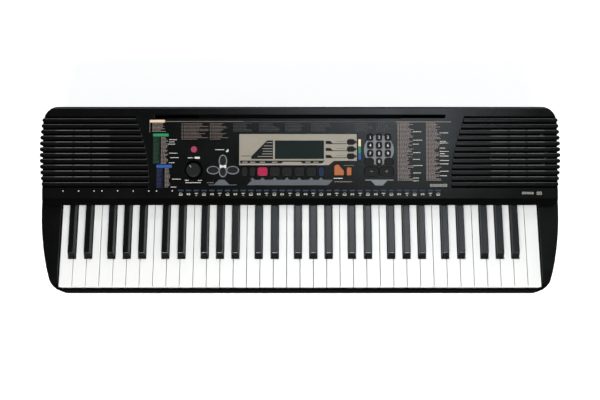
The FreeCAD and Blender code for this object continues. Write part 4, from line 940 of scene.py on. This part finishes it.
bpy.ops.object.mode_set(mode="OBJECT")
for edge in sweep.data.edges:
    edge.select = all(sweep.data.vertices[v].co.z < 0.1 for v in edge.vertices)
bpy.ops.object.mode_set(mode="EDIT")
bpy.ops.mesh.select_mode(type="EDGE")
bpy.ops.mesh.bevel(offset=SWEEP_CURVE, segments=8)
bpy.ops.object.mode_set(mode="OBJECT")
bpy.ops.object.shade_smooth_by_angle(angle=SWEEP_SMOOTH)
floor_paint = bpy.data.materials.new("pale_floor")
floor_paint.use_nodes = True
tree = floor_paint.node_tree
paint = tree.nodes["Principled BSDF"]
paint.inputs["Base Color"].default_value = FLOOR_PALE
paint.inputs["Roughness"].default_value = 0.9
rays = tree.nodes.new("ShaderNodeLightPath")
seen_by = [rays.outputs[kind] for kind in ("Is Camera Ray", "Is Glossy Ray", "Is Transmission Ray")]
seen = together(tree, "MAXIMUM", *seen_by)
place = tree.nodes.new("ShaderNodeTexCoord")
far = tree.nodes.new("ShaderNodeVectorMath")
far.operation = "LENGTH"
tree.links.new(place.outputs["Object"], far.inputs[0])
reach = ramped(tree, far.outputs["Value"], NEAR_AND_FAR, NEAR_GLOW, 1.0)
glow = worked(tree, "MULTIPLY", seen, reach)
paint.inputs["Emission Color"].default_value = WHITE
tree.links.new(glow, paint.inputs["Emission Strength"])
sweep.data.materials.append(floor_paint)

world = bpy.data.worlds.new("studio")
bpy.context.scene.world = world
world.use_nodes = True
sky = world.node_tree.nodes["Background"]
sky.inputs["Color"].default_value = WHITE
sky.inputs["Strength"].default_value = SKY_LIGHT


def soft_box(name, place, aim, wide, deep, watts, colour=(1, 1, 1)):
    bare_start()
    bpy.ops.object.light_add(type="AREA", location=place)
    lamp = bpy.context.object
    lamp.name = name
    lamp.data.shape = "RECTANGLE"
    lamp.data.size = wide
    lamp.data.size_y = deep
    lamp.data.energy = watts
    lamp.data.color = colour
    throw = [a - p for a, p in zip(aim, place)]
    flat = math.hypot(throw[0], throw[1])
    turn = math.atan2(throw[1], throw[0]) - math.pi / 2
    lamp.rotation_euler = (math.atan2(flat, -throw[2]), 0, turn)


soft_box("overhead_box", (0.32, 0.3, 2.3), (0.2, 0.1, 0), 1.0, 0.6, 6.6, (0.84, 0.94, 1.0))
KEYS_AT = (0, 0, 0.05)
soft_box("front_key", (0, -2.2, 1.75), KEYS_AT, 1.4, 0.7, 99)
soft_box("left_side", (-2.2, 0.1, 0.7), KEYS_AT, 0.8, 0.8, 5)
soft_box("right_side", (2.2, 0.1, 0.7), KEYS_AT, 0.8, 0.8, 5)
soft_box("rear_strip", (0, 1.7, 1.3), (0, 0.1, 0.1), 2.6, 0.4, 12)

CAMERA_AT = (0, -0.2986, 1.4894)
CAMERA_AIM = (0, 0.0018, 0.076)
LENS = 48.46
SENSOR = 36
bpy.ops.object.camera_add(location=CAMERA_AT)
camera = bpy.context.object
camera.name = "front_camera"
drop = CAMERA_AT[2] - CAMERA_AIM[2]
camera.rotation_euler = (math.atan2(CAMERA_AIM[1] - CAMERA_AT[1], drop), 0, 0)
camera.data.lens = LENS
camera.data.sensor_width = SENSOR
bpy.context.scene.camera = camera
bpy.context.scene.view_settings.view_transform = "Standard"
